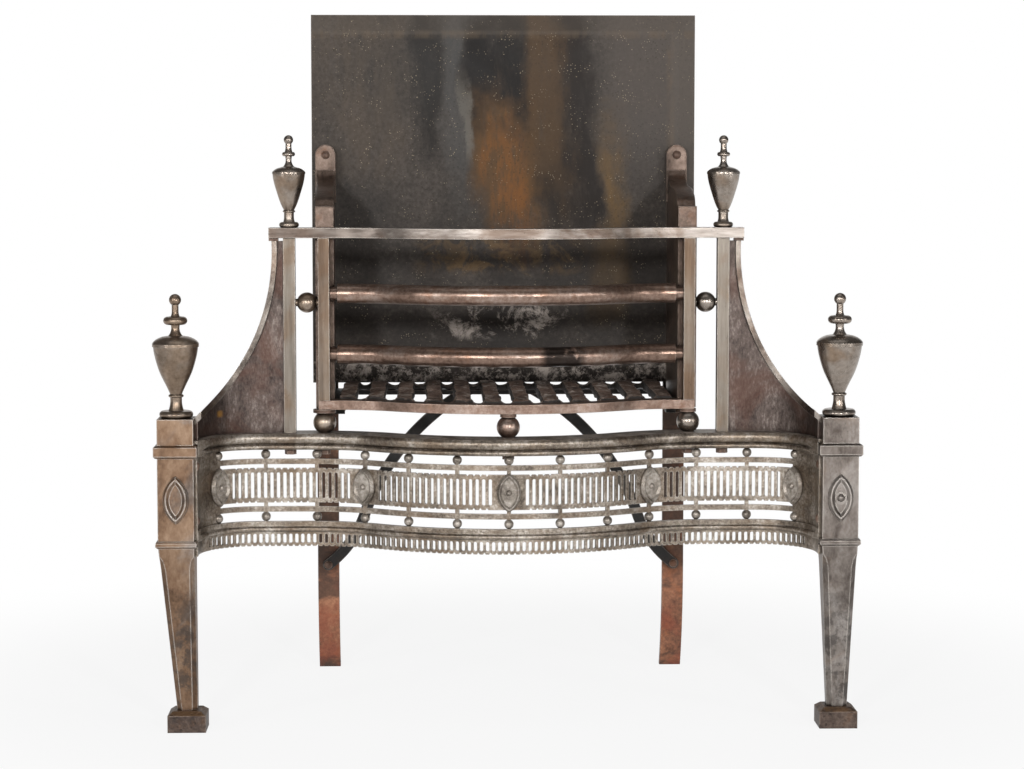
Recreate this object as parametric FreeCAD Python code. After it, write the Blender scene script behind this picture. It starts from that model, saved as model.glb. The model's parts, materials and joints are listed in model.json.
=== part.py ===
import FreeCAD, Part
import math
import os
from FreeCAD import Vector

os.makedirs("parts", exist_ok=True)

# A serpentine steel basket grate, free-standing on two front posts and two rear legs.
# Sizes are in millimetres. X runs to the right and Z up from the floor. While modelling,
# Y is the distance back from the front of the post bands; writing the parts centres it.

# Fits
play = 0.15                 # radial play of a pin, stud or tenon in its hole

# Basket widths, from the cheeks outwards
cheek_x = 203.5             # cheek's inner face at the front, from the middle of the grate
cheek_t = 22.0
upright_out = 4.85          # upright's inner face outside the cheek's
upright_w = 13.3
spacer_l = 26.75            # clear width between an upright and its standard
standard_side = 14.0
wing_gap = 5.6              # between a standard and the free edge of its wing under the rail
wing_flat = 21.25           # flat run of a wing from there on, before it sweeps forward
swell_inset = 3.5           # the bars' straight ends reach this far inside the cheeks

# Front posts, from the floor up
post_side = 41.5
band_side = 49.7
collar_side = 47.0
foot_side = 44.0
foot_face_h = 19.4
foot_bevel_h = 4.6
foot_bevel = 6.0
leg_h = 189.6
leg_top_side = 41.0
leg_foot_side = 23.4
leg_chamfer = 5.6
leg_arris = 0.4             # bevel left on the plain square top of a leg
lamb_tongue_h = 16.0        # height over which a leg's chamfers run out
lamb_tongue_bend = 9.6      # height at which the run-out turns
lamb_tongue_cut = 4.0       # chamfer left there
lamb_tongue_drop = 9.0      # plain square length left above them
leg_lean_left = 10.0        # the old left leg has been knocked inwards
collar_h = 8.0
die_h = 95.7
band_h = 15.0
cap_h = 29.7
edge_bevel = 2.2            # small bevels on bands and collars
tenon_r = 7.0
tenon_l = 12.0
finial_stud_r = 4.0
finial_stud_l = 15.0

# Pointed-oval paterae on the posts
navette_w = 29.0
navette_h = 55.0
navette_edge = 1.8          # height of the rim's upright outer edge
navette_crest = 2.6         # crest of the rim, in from the outline
navette_crest_w = 1.0
navette_rim = 7.2           # width of the whole rim
navette_proud = 4.2
navette_field = 1.4
navette_boss_r = 4.6
navette_ring_r = 7.0        # low step round the boss
navette_ring_h = 0.8

# Serpentine fret in plan
fret_bow = 76.1             # how far the hollows lie behind the apex
fret_recess = 54.25         # straight run between a hollow and the swept end
fret_hollow_r = 145.0       # radius of the two hollows
fret_end_r = 70.0           # radius that sweeps the ends forward to the posts
fret_tail = 13.0            # flat end of the sheet against the post
fret_tail_front = 8.65      # end of the sheet in front of the post's axis
sheet_t = 3.0
rail_taper_l = 36.0         # length over which the rails die away to the sheet
rail_taper_t = 0.6          # thickness left at their tips

# Fret rows, from the top rail down
rail_h = 18.7
rail_nose = 11.2            # height of the rail's rounded face
rail_bulge = 2.8            # and how far it swells
rail_bead = 6.4             # height of the bead along its lower edge
rail_hollow = 4.6           # depth of the groove between them
rail_bead_front = 1.2       # bead behind the face
rail_front = 11.0           # top rail reach in front of the sheet's middle line
rail_margin = 7.9           # and behind the centre ball
rail_lap = 12.0             # end of the top rail lapped behind the post band
pearl_gap = 11.2
pearl_room = 0.1
strip_h = 6.4
reed_gap = 4.5
fluted_h = 41.0
flute_h = 30.5
flute_w = 3.8
flute_corner = 1.14
bottom_rail_h = 12.2
bottom_bead_h = 6.2
bottom_bead_t = 3.6
fascia_t = 2.6
apron_h = 17.5
apron_flute_h = 10.8
apron_flute_top = 2.9       # plain strip between the bottom rail and the apron slots
apron_pitch = 7.05
apron_plain = 46.0          # unslotted length at each end of the apron
scallop_w = 3.4
scallop_h = 2.2
columns_each_side = 6
plain_end = 68.0            # sheet left whole past the last pearl column
column_w = 4.6
flutes_between = 19         # slots between two oval paterae
oval_w = 27.6
oval_over = 2.3             # oval reach above and below the fluted band
oval_edge = 3.4             # height of the rim's upright outer edge
oval_crest = 2.2            # crest of the rim, in from the outline
oval_crest_w = 0.7
oval_rim = 5.2              # width of the whole rim
oval_proud = 6.8
oval_field = 4.6
oval_boss_r = 3.4

# Basket
basket_setback = 11.0       # basket bars behind the sheet's middle line in the hollows
centre_setback = 25.1       # and at the apex
basket_hollow_r = 120.0
rail_bar_d = 24.0
rail_bar_h = 12.0
standard_stud_r = 4.0
nut_side = 12.0
nut_h = 7.0
spacer_neck_l = 1.4         # neck left at each end of a spacer ball
spacer_neck_r = 4.5
spacer_ball_drop = 10.6     # below the upper fire bar
upright_cover = 0.55        # uprights reach past the balls, front and back
ball_pin_r = 3.0
ball_pin_l = 5.0
support_ball_h = 23.5
support_ball_flat = 1.75    # taken off the ball, above and below
support_washer_h = 4.0
support_washer_rs = (13.5, 9.5, 9.5)
support_stud_r = 4.0
fire_bar_d = 23.0
fire_bar_first = 54.3       # lower bar's axis above the bottom bar
fire_bar_pitch = 71.4
fire_bar_clear = 65.4       # top rail above the upper bar's axis
fire_bar_shoulder_r = 8.0
fire_bar_shoulder = 9.0
fire_bar_tenon_r = 4.5
bottom_bar_h = 10.9
bottom_bar_front = 10.0
upright_bore_l = 8.0        # depth of the support stud in an upright

# Cheeks, back plate and what carries the loose grate
cheek_splay = 1.7           # degrees outwards to the rear
cheek_l = 225.5             # upright's back face to back plate
cheek_block_h = 24.5        # front block above the top rail
cheek_block_d = 26.0
cheek_swell_h = 21.0        # rise of the ogee's swell, next to the block
cheek_swell_l = 92.0
cheek_hollow_h = 20.0       # rise of its hollow, up to the lug
lug_w = 25.5
lug_t = 12.0
lug_h = 97.5                # top of the lug above the basket's top rail
plate_over = 38.3           # plate past the cheeks' inner faces
plate_shift = 3.0           # the plate hangs a little to the right
plate_h = 463.5
plate_lift = 8.0            # plate's lower edge above the seat of the loose grate
plate_t = 12.0
plate_bevel = 20.0
plate_bevel_d = 3.5
bearer_w = 12.0
bearer_h = 12.0
bearer_gap = 1.5            # between a side bearer and the rear bearer
bearer_front = 24.0         # side bearer behind the upright
rear_bearer_h = 6.0
rear_bearer_d = 15.0        # reach in front of the plate
grate_sink = 8.4            # seat of the loose grate below the top of the bottom bar
grate_h = 12.0
grate_end_h = 7.0           # cross bars at its front and rear
grate_side_gap = 5.0        # to the cheeks
grate_front_gap = 4.0       # to the bottom bar
grate_rear_gap = 5.0        # to the plate
grate_bars = 12
grate_bar_w = 20.0
grate_front_w = 16.0
grate_rear_w = 14.0

# Rear legs and braces
rear_leg_out = 17.5         # leg's middle outside the cheek's inner face
rear_leg_w = 27.0
rear_leg_t = 9.0
rear_leg_lap = 106.0        # up the back of the plate
rear_leg_bend_z = 130.0
rear_leg_bend_r = 253.0
brace_w = 14.0
brace_t = 8.0
brace_above_bend = 10.0
brace_lower_r = 135.0
brace_upper_r = 294.0
brace_foot_angle = 53.0     # where the lower sweep ends, past straight down
brace_turn_angle = 19.0     # where the two sweeps of the brace meet
brace_pin_l = 7.0

# Wings
wing_t = 4.0
wing_setback = 9.0          # wings behind the sheet's middle line, against the standards' sides
wing_tail = 17.0
wing_edge_r = 252.0
wing_top_w = 7.5            # width of a wing under the basket's top rail
bead_w = 6.0
bead_t = 8.0
pad_side = 11.0
pad_h = 3.5

# Fasteners
rivet_r = 3.0
rivet_head_r = 5.5
rivet_head_h = 2.6
screw_in_post = 18.0

# Turned urn finials: radii and heights above the seat
front_urn = dict(base_r=19.3, base_h=8.6, base_top_r=15.0, flare_r=8.8, stem_r=6.7, stem_z=18.5,
                 ring_r=8.7, ring_z=24.0, ring_h=3.2,
                 body=((9.9, 34.7), (14.0, 43.0), (18.5, 52.8), (21.7, 62.5), (24.2, 72.2)),
                 rim_r=25.7, rim_z=82.0, lip_r=26.7, lip_h=3.6, lid=((25.4, 87.6), (21.8, 90.6)),
                 lid_r=15.4, lid_z=93.4, collar_r=8.2, collar_z=94.6, waist_r=5.7, waist_z=98.5,
                 neck_r=5.1, neck_z=106.6, disc_r=13.7, disc_z=109.4, disc_h=5.8,
                 pin_r=3.9, pin_z=122.0, pin_base_r=6.0, ball_r=6.9, height=142.4)
rear_urn = dict(base_r=11.6, base_h=6.6, base_top_r=8.6, flare_r=6.9, stem_r=5.8, stem_z=11.5,
                ring_r=7.3, ring_z=17.9, ring_h=2.4,
                body=((8.6, 25.6), (10.9, 31.4), (13.9, 40.7), (16.8, 50.5), (18.4, 58.0)),
                rim_r=18.9, rim_z=62.6, lip_r=19.4, lip_h=2.4, lid=((18.3, 66.2), (15.4, 68.4)),
                lid_r=10.6, lid_z=70.2, collar_r=6.4, collar_z=71.4, waist_r=4.3, waist_z=74.6,
                neck_r=3.8, neck_z=82.2, disc_r=7.6, disc_z=83.6, disc_h=4.8,
                pin_r=3.5, pin_z=94.0, pin_base_r=4.6, ball_r=5.5, height=108.0)

# Levels and lines that follow from the sizes above
upright_x = cheek_x + upright_out + upright_w / 2
standard_x = upright_x + upright_w / 2 + spacer_l + standard_side / 2
wing_inner_x = standard_x + standard_side / 2 + wing_gap
wing_edge_top_x = wing_inner_x + wing_top_w
rail_bar_half = wing_inner_x + pad_side
sheet_x = wing_inner_x + wing_flat + fret_end_r
post_inner = sheet_x + sheet_t / 2
post_x = post_inner + post_side / 2
fret_swell_half = sheet_x - fret_end_r - fret_recess
basket_swell_half = cheek_x - swell_inset
rear_leg_x = cheek_x + rear_leg_out
plate_w = 2 * (cheek_x + plate_over)

foot_top = foot_face_h + foot_bevel_h
leg_top = foot_top + leg_h
die_z = leg_top + collar_h
band_z = die_z + die_h
block_z = band_z + band_h
cap_top = block_z + cap_h
post_y = band_side / 2

rail_top = band_z + rail_h
strip_1_top = band_z - pearl_gap
fluted_top = strip_1_top - strip_h - reed_gap
fluted_bottom = fluted_top - fluted_h
strip_2_top = fluted_bottom - reed_gap
bottom_rail_top = strip_2_top - strip_h - pearl_gap
bottom_rail_z = bottom_rail_top - bottom_rail_h
apron_z = bottom_rail_z - apron_h
pearl_d = pearl_gap - 2 * pearl_room
oval_h = fluted_h + 2 * oval_over

tail_y = post_y - fret_tail_front
hollow_y = tail_y + fret_tail + fret_end_r
basket_y = hollow_y + basket_setback
apex_bar_y = hollow_y - fret_bow + centre_setback
basket_bow = basket_y - apex_bar_y
rail_back = centre_setback + rail_margin

support_ball_d = support_ball_h + 2 * support_ball_flat
spacer_ball_d = spacer_l - 2 * spacer_neck_l
upright_d = spacer_ball_d + 2 * upright_cover
bottom_bar_z = rail_top + support_ball_h + support_washer_h
bottom_bar_top = bottom_bar_z + bottom_bar_h
fire_bar_zs = (bottom_bar_top + fire_bar_first, bottom_bar_top + fire_bar_first + fire_bar_pitch)
spacer_ball_z = fire_bar_zs[1] - spacer_ball_drop
rail_bar_z = fire_bar_zs[1] + fire_bar_clear
rail_bar_top = rail_bar_z + rail_bar_h
upright_back = basket_y + upright_d / 2
plate_y = upright_back + cheek_l
plate_back = plate_y + plate_t
lug_x = cheek_x + cheek_t / 2 + cheek_l * math.sin(math.radians(cheek_splay))
lug_z = rail_bar_top + lug_h - lug_w / 2
grate_z = bottom_bar_top - grate_sink
grate_half_w = cheek_x - grate_side_gap
bearer_z = grate_z - bearer_h
rear_bearer_z = grate_z - rear_bearer_h
bearer_end = plate_y - rear_bearer_d - bearer_gap
grate_rear = plate_y - grate_rear_gap
plate_z = grate_z + plate_lift
rear_leg_top = plate_z + rear_leg_lap
brace_foot_z = rear_leg_bend_z + brace_above_bend
leg_centre_y = plate_back + rear_leg_t / 2
toe_r = rear_leg_bend_r - rear_leg_t / 2
depth = leg_centre_y + rear_leg_bend_r - math.sqrt(toe_r ** 2 - rear_leg_bend_z ** 2)
front = min(0.0, post_y - front_urn["lip_r"])

UP = Vector(0, 0, 1)
RIGHT = Vector(1, 0, 0)
BACK = Vector(0, 1, 0)


# Small building blocks

def box(x0, x1, y0, y1, z0, z1):
    return Part.makeBox(x1 - x0, y1 - y0, z1 - z0, Vector(x0, y0, z0))


def rod(radius, start, direction, length):
    return Part.makeCylinder(radius, length, start, direction)


def merge(solids):
    """One solid out of solids that touch or overlap."""
    whole = solids[0].multiFuse(solids[1:]) if len(solids) > 1 else solids[0]
    return whole.removeSplitter()


def mirrored(shape):
    return shape.mirror(Vector(0, 0, 0), RIGHT)


def polygon(points):
    return Part.Face(Part.makePolygon(list(points) + [points[0]]))


def edges_to_face(segments, place):
    """Face bounded by segments of two points (a line) or three points (an arc)."""
    edges = []
    for segment in segments:
        points = [place(*pair) for pair in segment]
        if len(points) == 2:
            edges.append(Part.makeLine(points[0], points[1]))
        else:
            edges.append(Part.Arc(points[0], points[1], points[2]).toShape())
    return Part.Face(Part.Wire(edges))


def square_stack(x, y, levels):
    """Square mouldings on a vertical axis: each level is (side, height)."""
    wires = []
    for side, z in levels:
        h = side / 2
        corners = [Vector(x - h, y - h, z), Vector(x + h, y - h, z),
                   Vector(x + h, y + h, z), Vector(x - h, y + h, z)]
        wires.append(Part.makePolygon(corners + [corners[0]]))
    return Part.makeLoft(wires, True, True)


def drilled(shape, radius, start, direction, length):
    return shape.cut(rod(radius, start, direction, length))


def rivet(start, direction, length):
    """Domed rivet: its head stands against direction at start, its shank runs along direction."""
    r = (rivet_head_r ** 2 + rivet_head_h ** 2) / (2 * rivet_head_h)
    dome = Part.makeSphere(r, start + direction * (r - rivet_head_h))
    slab = rod(2 * r, start - direction * (2 * r), direction, 2 * r)
    return merge([dome.common(slab), rod(rivet_r, start, direction, length)])


# Plan lines made of straight runs and arcs, walked from left to right

class PlanLine:
    """A smooth line in plan; offsets to the front (the right hand of the walk) are positive."""

    def __init__(self, x, y, heading):
        self.x, self.y, self.heading = x, y, heading
        self.runs = []
        self.length = 0.0

    def straight(self, length):
        self.runs.append((self.length, length, self.x, self.y, self.heading, 0.0))
        self.x += length * math.cos(self.heading)
        self.y += length * math.sin(self.heading)
        self.length += length

    def turn(self, radius, angle):
        """Arc of this radius; a positive angle turns left."""
        curve = math.copysign(1 / radius, angle)
        self.runs.append((self.length, radius * abs(angle), self.x, self.y, self.heading, curve))
        self.x += (math.sin(self.heading + angle) - math.sin(self.heading)) / curve
        self.y += (math.cos(self.heading) - math.cos(self.heading + angle)) / curve
        self.heading += angle
        self.length += radius * abs(angle)

    def at(self, s, offset=0.0):
        """Point and heading at a distance s along the line."""
        run = [r for r in self.runs if r[0] <= s + 1e-9][-1]
        start, length, x, y, heading, curve = run
        step = s - start
        if curve == 0.0:
            px = x + step * math.cos(heading)
            py = y + step * math.sin(heading)
        else:
            px = x + (math.sin(heading + step * curve) - math.sin(heading)) / curve
            py = y + (math.cos(heading) - math.cos(heading + step * curve)) / curve
            heading += step * curve
        return Vector(px + offset * math.sin(heading), py - offset * math.cos(heading), 0), heading

    def s_at_x(self, x):
        low, high = 0.0, self.length
        for step in range(60):
            middle = (low + high) / 2
            if self.at(middle)[0].x < x:
                low = middle
            else:
                high = middle
        return low

    def sweep(self, segments, s0, s1):
        """Solids that carry a section, drawn as (offset, height), from s0 to s1."""
        solids = []
        for start, length, x, y, heading, curve in self.runs:
            a = max(s0, start)
            b = min(s1, start + length)
            if b - a < 1e-6:
                continue
            point, angle = self.at(a + 1e-9)
            side = Vector(math.sin(angle), -math.cos(angle), 0)
            face = edges_to_face(segments, lambda n, z: point + side * n + UP * z)
            if curve == 0.0:
                solids.append(face.extrude(Vector(math.cos(angle), math.sin(angle), 0) * (b - a)))
            else:
                centre = point - side * (1 / curve)
                solids.append(face.revolve(centre, UP, math.degrees((b - a) * curve)))
        return solids


def block_section(n0, n1, z0, z1):
    return [((n0, z0), (n1, z0)), ((n1, z0), (n1, z1)), ((n1, z1), (n0, z1)), ((n0, z1), (n0, z0))]


def swell_angle(half_width, bow):
    return 2 * math.atan(bow / half_width)


def swell(line, half_width, bow, hollow_r):
    """Hollow, swelling and hollow again: the serpentine middle of a plan line."""
    angle = swell_angle(half_width, bow)
    swell_r = half_width / math.sin(angle) - hollow_r
    line.turn(hollow_r, -angle)
    line.turn(swell_r, 2 * angle)
    line.turn(hollow_r, -angle)


def fret_line():
    line = PlanLine(-sheet_x, tail_y, math.pi / 2)
    line.straight(fret_tail)
    line.turn(fret_end_r, -math.pi / 2)
    line.straight(fret_recess)
    swell(line, fret_swell_half, fret_bow, fret_hollow_r)
    line.straight(fret_recess)
    line.turn(fret_end_r, -math.pi / 2)
    line.straight(fret_tail)
    return line


def basket_line():
    line = PlanLine(-rail_bar_half, basket_y, 0.0)
    line.straight(rail_bar_half - basket_swell_half)
    swell(line, basket_swell_half, basket_bow, basket_hollow_r)
    line.straight(rail_bar_half - basket_swell_half)
    return line


FRET = fret_line()
FRET_MIDDLE = FRET.length / 2
column_pitch = (FRET_MIDDLE - plain_end) / columns_each_side
BASKET = basket_line()


# Front posts

def foot(x):
    block = square_stack(x, post_y, [(foot_side, 0), (foot_side, foot_face_h),
                                     (foot_side - 2 * foot_bevel, foot_top)])
    return drilled(block, tenon_r + play, Vector(x, post_y, foot_top - tenon_l), UP, tenon_l)


def leg(x, foot_x):
    """Tapered square leg with chamfered corners that run out below the collar."""
    run_out = leg_top - lamb_tongue_drop
    full = run_out - lamb_tongue_h
    wires = []
    for z, cut in ((foot_top, leg_chamfer), (full, leg_chamfer), (full + lamb_tongue_bend, lamb_tongue_cut),
                   (run_out, leg_arris), (leg_top, leg_arris)):
        share = (z - foot_top) / leg_h
        h = (leg_foot_side + (leg_top_side - leg_foot_side) * share) / 2
        cx = foot_x + (x - foot_x) * share
        k = h - cut
        plan = [(-k, -h), (k, -h), (h, -k), (h, k), (k, h), (-k, h), (-h, k), (-h, -k)]
        points = [Vector(cx + px, post_y + py, z) for px, py in plan]
        wires.append(Part.makePolygon(points + [points[0]]))
    shaft = Part.makeLoft(wires, True, True)
    collar = square_stack(x, post_y, [(collar_side - 2 * edge_bevel, leg_top),
                                      (collar_side, leg_top + edge_bevel),
                                      (collar_side, die_z - edge_bevel), (collar_side - edge_bevel, die_z)])
    pins = [rod(tenon_r, Vector(x, post_y, die_z), UP, tenon_l),
            rod(tenon_r, Vector(foot_x, post_y, foot_top - tenon_l), UP, tenon_l)]
    return merge([shaft, collar] + pins)


def post_die(x):
    """Plain square die of the post, tenoned into the cap above and bored for the leg below."""
    h = post_side / 2
    die = box(x - h, x + h, post_y - h, post_y + h, die_z, band_z)
    die = die.fuse(rod(tenon_r, Vector(x, post_y, band_z), UP, tenon_l))
    die = drilled(die, tenon_r + play, Vector(x, post_y, die_z), UP, tenon_l + play)
    for z in fret_screw_zs():
        outwards = RIGHT * math.copysign(1, x)
        die = drilled(die, rivet_r + play, fret_screw_seat(x, z), outwards, screw_in_post + play)
    return die


def post_cap(x):
    band = square_stack(x, post_y, [(band_side - 2 * edge_bevel, band_z), (band_side, band_z + edge_bevel),
                                    (band_side, block_z - edge_bevel), (post_side, block_z)])
    block = square_stack(x, post_y, [(post_side, block_z), (post_side, cap_top)])
    cap = merge([band, block])
    cap = drilled(cap, tenon_r + play, Vector(x, post_y, band_z), UP, tenon_l + play)
    return drilled(cap, finial_stud_r + play, Vector(x, post_y, cap_top - finial_stud_l - play), UP,
                   finial_stud_l + play)


def pointed_oval(place, width, height, levels):
    """Ruled solid through pointed ovals of two arcs, each an inset and a height above the ground."""
    r = (width ** 2 + height ** 2) / (4 * width)
    wires = []
    for inset, out in levels:
        half_w = width / 2 - inset
        tip = math.sqrt((r - inset) ** 2 - (r - width / 2) ** 2)
        arcs = (((0, -tip), (half_w, 0), (0, tip)), ((0, tip), (-half_w, 0), (0, -tip)))
        edges = [Part.Arc(*[place(across, up, out) for across, up in arc]).toShape() for arc in arcs]
        wires.append(Part.Wire(edges))
    return Part.makeLoft(wires, True, True)


def post_patera(x, boss):
    """Rounded pointed-oval rim round a sunk field; one of the pair keeps its boss."""
    y = post_y - post_side / 2
    z = (die_z + band_z) / 2

    def place(across, up, out):
        return Vector(x + across, y - out, z + up)

    body = pointed_oval(place, navette_w, navette_h,
                        [(0, 0), (0, navette_edge), (navette_crest, navette_proud)])
    field = pointed_oval(place, navette_w, navette_h,
                         [(navette_rim, navette_field), (navette_crest + navette_crest_w, navette_proud)])
    body = body.cut(field)
    if not boss:
        return body
    dome = Part.makeSphere(navette_boss_r, Vector(x, y - navette_field, z))
    w = navette_w
    ring = rod(navette_ring_r, Vector(x, y, z), -BACK, navette_field + navette_ring_h)
    return merge([body, ring, dome.common(box(x - w, x + w, y - w, y, z - w, z + w))])


def urn(x, y, z, u, stud):
    """Turned urn finial with a stud below its seat."""
    def at(r, h):
        return Vector(x + r, y, z + h)

    def line(*pairs):
        points = [at(*pair) for pair in pairs]
        return [Part.makeLine(points[i], points[i + 1]) for i in range(len(points) - 1)]

    def arc(a, b, c):
        return [Part.Arc(at(*a), at(*b), at(*c)).toShape()]

    def curve(*pairs):
        spline = Part.BSplineCurve()
        spline.interpolate([at(*pair) for pair in pairs])
        return [spline.toShape()]

    base = (u["base_top_r"], u["base_h"])
    base_middle = (u["base_r"], u["base_h"] / 2)
    base_low = (u["base_top_r"], 0)
    flare = (u["flare_r"], u["base_h"])
    stem = (u["stem_r"], u["stem_z"])
    ring_low = (u["stem_r"], u["ring_z"])
    ring_top = (u["stem_r"], u["ring_z"] + u["ring_h"])
    rim = (u["rim_r"], u["rim_z"])
    lip = (u["lip_r"], u["rim_z"])
    lip_top = (u["lip_r"], u["rim_z"] + u["lip_h"])
    lid = (u["lid_r"], u["lid_z"])
    collar = (u["collar_r"], u["collar_z"])
    neck = (u["neck_r"], u["neck_z"])
    disc_top_z = u["disc_z"] + u["disc_h"]
    pin_base = (u["pin_base_r"], disc_top_z)
    pin = (u["pin_r"], u["pin_z"])
    ball_z = u["height"] - u["ball_r"]
    ball_low = (u["pin_r"], ball_z - math.sqrt(u["ball_r"] ** 2 - u["pin_r"] ** 2))
    edges = line((0, 0), base_low)
    edges += arc(base_low, base_middle, base)
    edges += line(base, flare)
    edges += curve(flare, ((flare[0] + 2 * stem[0]) / 3, (flare[1] + stem[1]) / 2), stem)
    edges += line(stem, ring_low)
    edges += arc(ring_low, (u["ring_r"], u["ring_z"] + u["ring_h"] / 2), ring_top)
    edges += curve(ring_top, *u["body"], rim)
    edges += line(rim, lip, lip_top)
    edges += curve(lip_top, *u["lid"], lid)
    edges += line(lid, collar)
    edges += curve(collar, (u["waist_r"], u["waist_z"]), neck)
    edges += line(neck, (u["neck_r"], u["disc_z"]))
    edges += arc((u["neck_r"], u["disc_z"]), (u["disc_r"], u["disc_z"] + u["disc_h"] / 2), pin_base)
    edges += curve(pin_base, ((pin_base[0] + 3 * pin[0]) / 4, (pin_base[1] + pin[1]) / 2), pin)
    edges += line(pin, ball_low)
    edges += arc(ball_low, (u["ball_r"], ball_z), (0, u["height"]))
    edges += line((0, u["height"]), (0, 0))
    body = Part.Face(Part.Wire(edges)).revolve(Vector(x, y, z), UP, 360)
    return merge([body, rod(finial_stud_r, Vector(x, y, z - stud), UP, stud + u["base_h"] / 2)])


# Serpentine fret

def columns():
    """Pearl columns along the sheet, measured from its middle."""
    return [column_pitch * i for i in range(-columns_each_side, columns_each_side + 1)]


def oval_columns():
    """Every third column carries an oval patera."""
    return [s for i, s in enumerate(columns()) if i % 3 == 0]


def pierce(s, outline):
    """Prism that cuts the sheet square to its face; the outline is drawn as (along, height)."""
    point, heading = FRET.at(FRET_MIDDLE + s)
    along = Vector(math.cos(heading), math.sin(heading), 0)
    side = Vector(math.sin(heading), -math.cos(heading), 0)
    base = point - side * (2 * sheet_t)
    return polygon([base + along * a + UP * z for a, z in outline]).extrude(side * (4 * sheet_t))


def slot(s, width, z0, z1):
    h = width / 2
    c = flute_corner
    return pierce(s, [(-h + c, z0), (h - c, z0), (h, z0 + c), (h, z1 - c), (h - c, z1), (-h + c, z1),
                      (-h, z1 - c), (-h, z0 + c)])


def notch(s, edge_z, up):
    """Cut between two scallops of an edge; up is +1 on an upper edge and -1 on a lower one."""
    h = scallop_w / 2
    return pierce(s, [(-h, edge_z), (-h, edge_z + up), (h, edge_z + up), (h, edge_z),
                      (0, edge_z - up * scallop_h)])


def fret_blank(back, front):
    section = block_section(back, front, apron_z, band_z)
    return merge(FRET.sweep(section, 0, FRET.length))


def row_openings(z0, z1):
    """Open gaps of one row, left between the columns."""
    cuts = []
    stations = columns()
    starts = [s + column_w / 2 for s in stations[:-1]]
    ends = [s - column_w / 2 for s in stations[1:]]
    section = block_section(-2 * sheet_t, 2 * sheet_t, z0, z1)
    for a, b in zip(starts, ends):
        cuts += FRET.sweep(section, FRET_MIDDLE + a, FRET_MIDDLE + b)
    return cuts


def flute_stations():
    """Slots of the fluted band, in runs between the oval paterae."""
    ovals = oval_columns()
    stations = []
    for a, b in zip(ovals, ovals[1:]):
        pitch = (b - a - oval_w) / (flutes_between + 1)
        stations += [a + oval_w / 2 + pitch * (k + 1) for k in range(flutes_between)]
    return stations


def apron_stations():
    count = int((FRET_MIDDLE - apron_plain) / apron_pitch)
    return [apron_pitch * (k + 0.5) for k in range(-count, count)]


def fret_sheet():
    """One pierced sheet from the top rail to the scalloped apron."""
    cuts = row_openings(bottom_rail_top, strip_2_top - strip_h)
    cuts += row_openings(strip_2_top, fluted_bottom)
    cuts += row_openings(fluted_top, fluted_top + reed_gap)
    cuts += row_openings(strip_1_top, band_z)
    plain = (fluted_h - flute_h) / 2
    flutes = flute_stations()
    for s in flutes:
        cuts.append(slot(s, flute_w, fluted_bottom + plain, fluted_top - plain))
    for a, b in zip(flutes, flutes[1:]):
        middle = (a + b) / 2
        on_column = min(abs(middle - s) for s in columns()) < column_w
        if b - a < oval_w / 2 and not on_column:
            cuts.append(notch(middle, fluted_top, 1))
            cuts.append(notch(middle, fluted_bottom, -1))
    slot_top = bottom_rail_z - apron_flute_top
    apron = apron_stations()
    for s in apron:
        cuts.append(slot(s, flute_w, slot_top - apron_flute_h, slot_top))
    for a, b in zip(apron, apron[1:]):
        cuts.append(notch((a + b) / 2, apron_z, -1))
    for side in (-1, 1):
        cuts.append(square_stack(side * post_x, post_y, [(collar_side, leg_top), (collar_side, die_z)]))
        for z in fret_screw_zs():
            inside = fret_screw_seat(side * post_x, z) - RIGHT * (side * 2 * sheet_t)
            cuts.append(rod(rivet_r + play, inside, RIGHT * side, 3 * sheet_t))
    return fret_blank(-sheet_t / 2, sheet_t / 2).cut(cuts)


def fret_screw_zs():
    return (bottom_rail_top + pearl_gap, band_z - pearl_gap)


def fret_screw_seat(x, z):
    """Where a screw through the sheet's flat end enters the post's inner face."""
    side = math.copysign(1, x)
    return Vector(side * post_inner, tail_y + fret_tail / 2, z)


def fret_screws():
    screws = []
    for side in (-1, 1):
        for z in fret_screw_zs():
            head = fret_screw_seat(side * post_x, z) - RIGHT * (side * sheet_t)
            screws.append(rivet(head, RIGHT * side, sheet_t + screw_in_post))
    return Part.makeCompound(screws)


def rail_tapers(reach):
    """Cutters that let a rail of this reach die away to the sheet at its two ends."""
    start = sheet_x - sheet_t / 2 - rail_taper_t
    far_y = tail_y + rail_taper_l
    far = sheet_x - fret_end_r + math.sqrt((fret_end_r - reach) ** 2 - (rail_taper_l - fret_tail) ** 2)
    plan = [(start, tail_y), (far, far_y), (far - fret_end_r, far_y), (far - fret_end_r, tail_y)]
    cutter = polygon([Vector(x, y, apron_z) for x, y in plan]).extrude(UP * (cap_top - apron_z))
    return [cutter, mirrored(cutter)]


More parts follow.
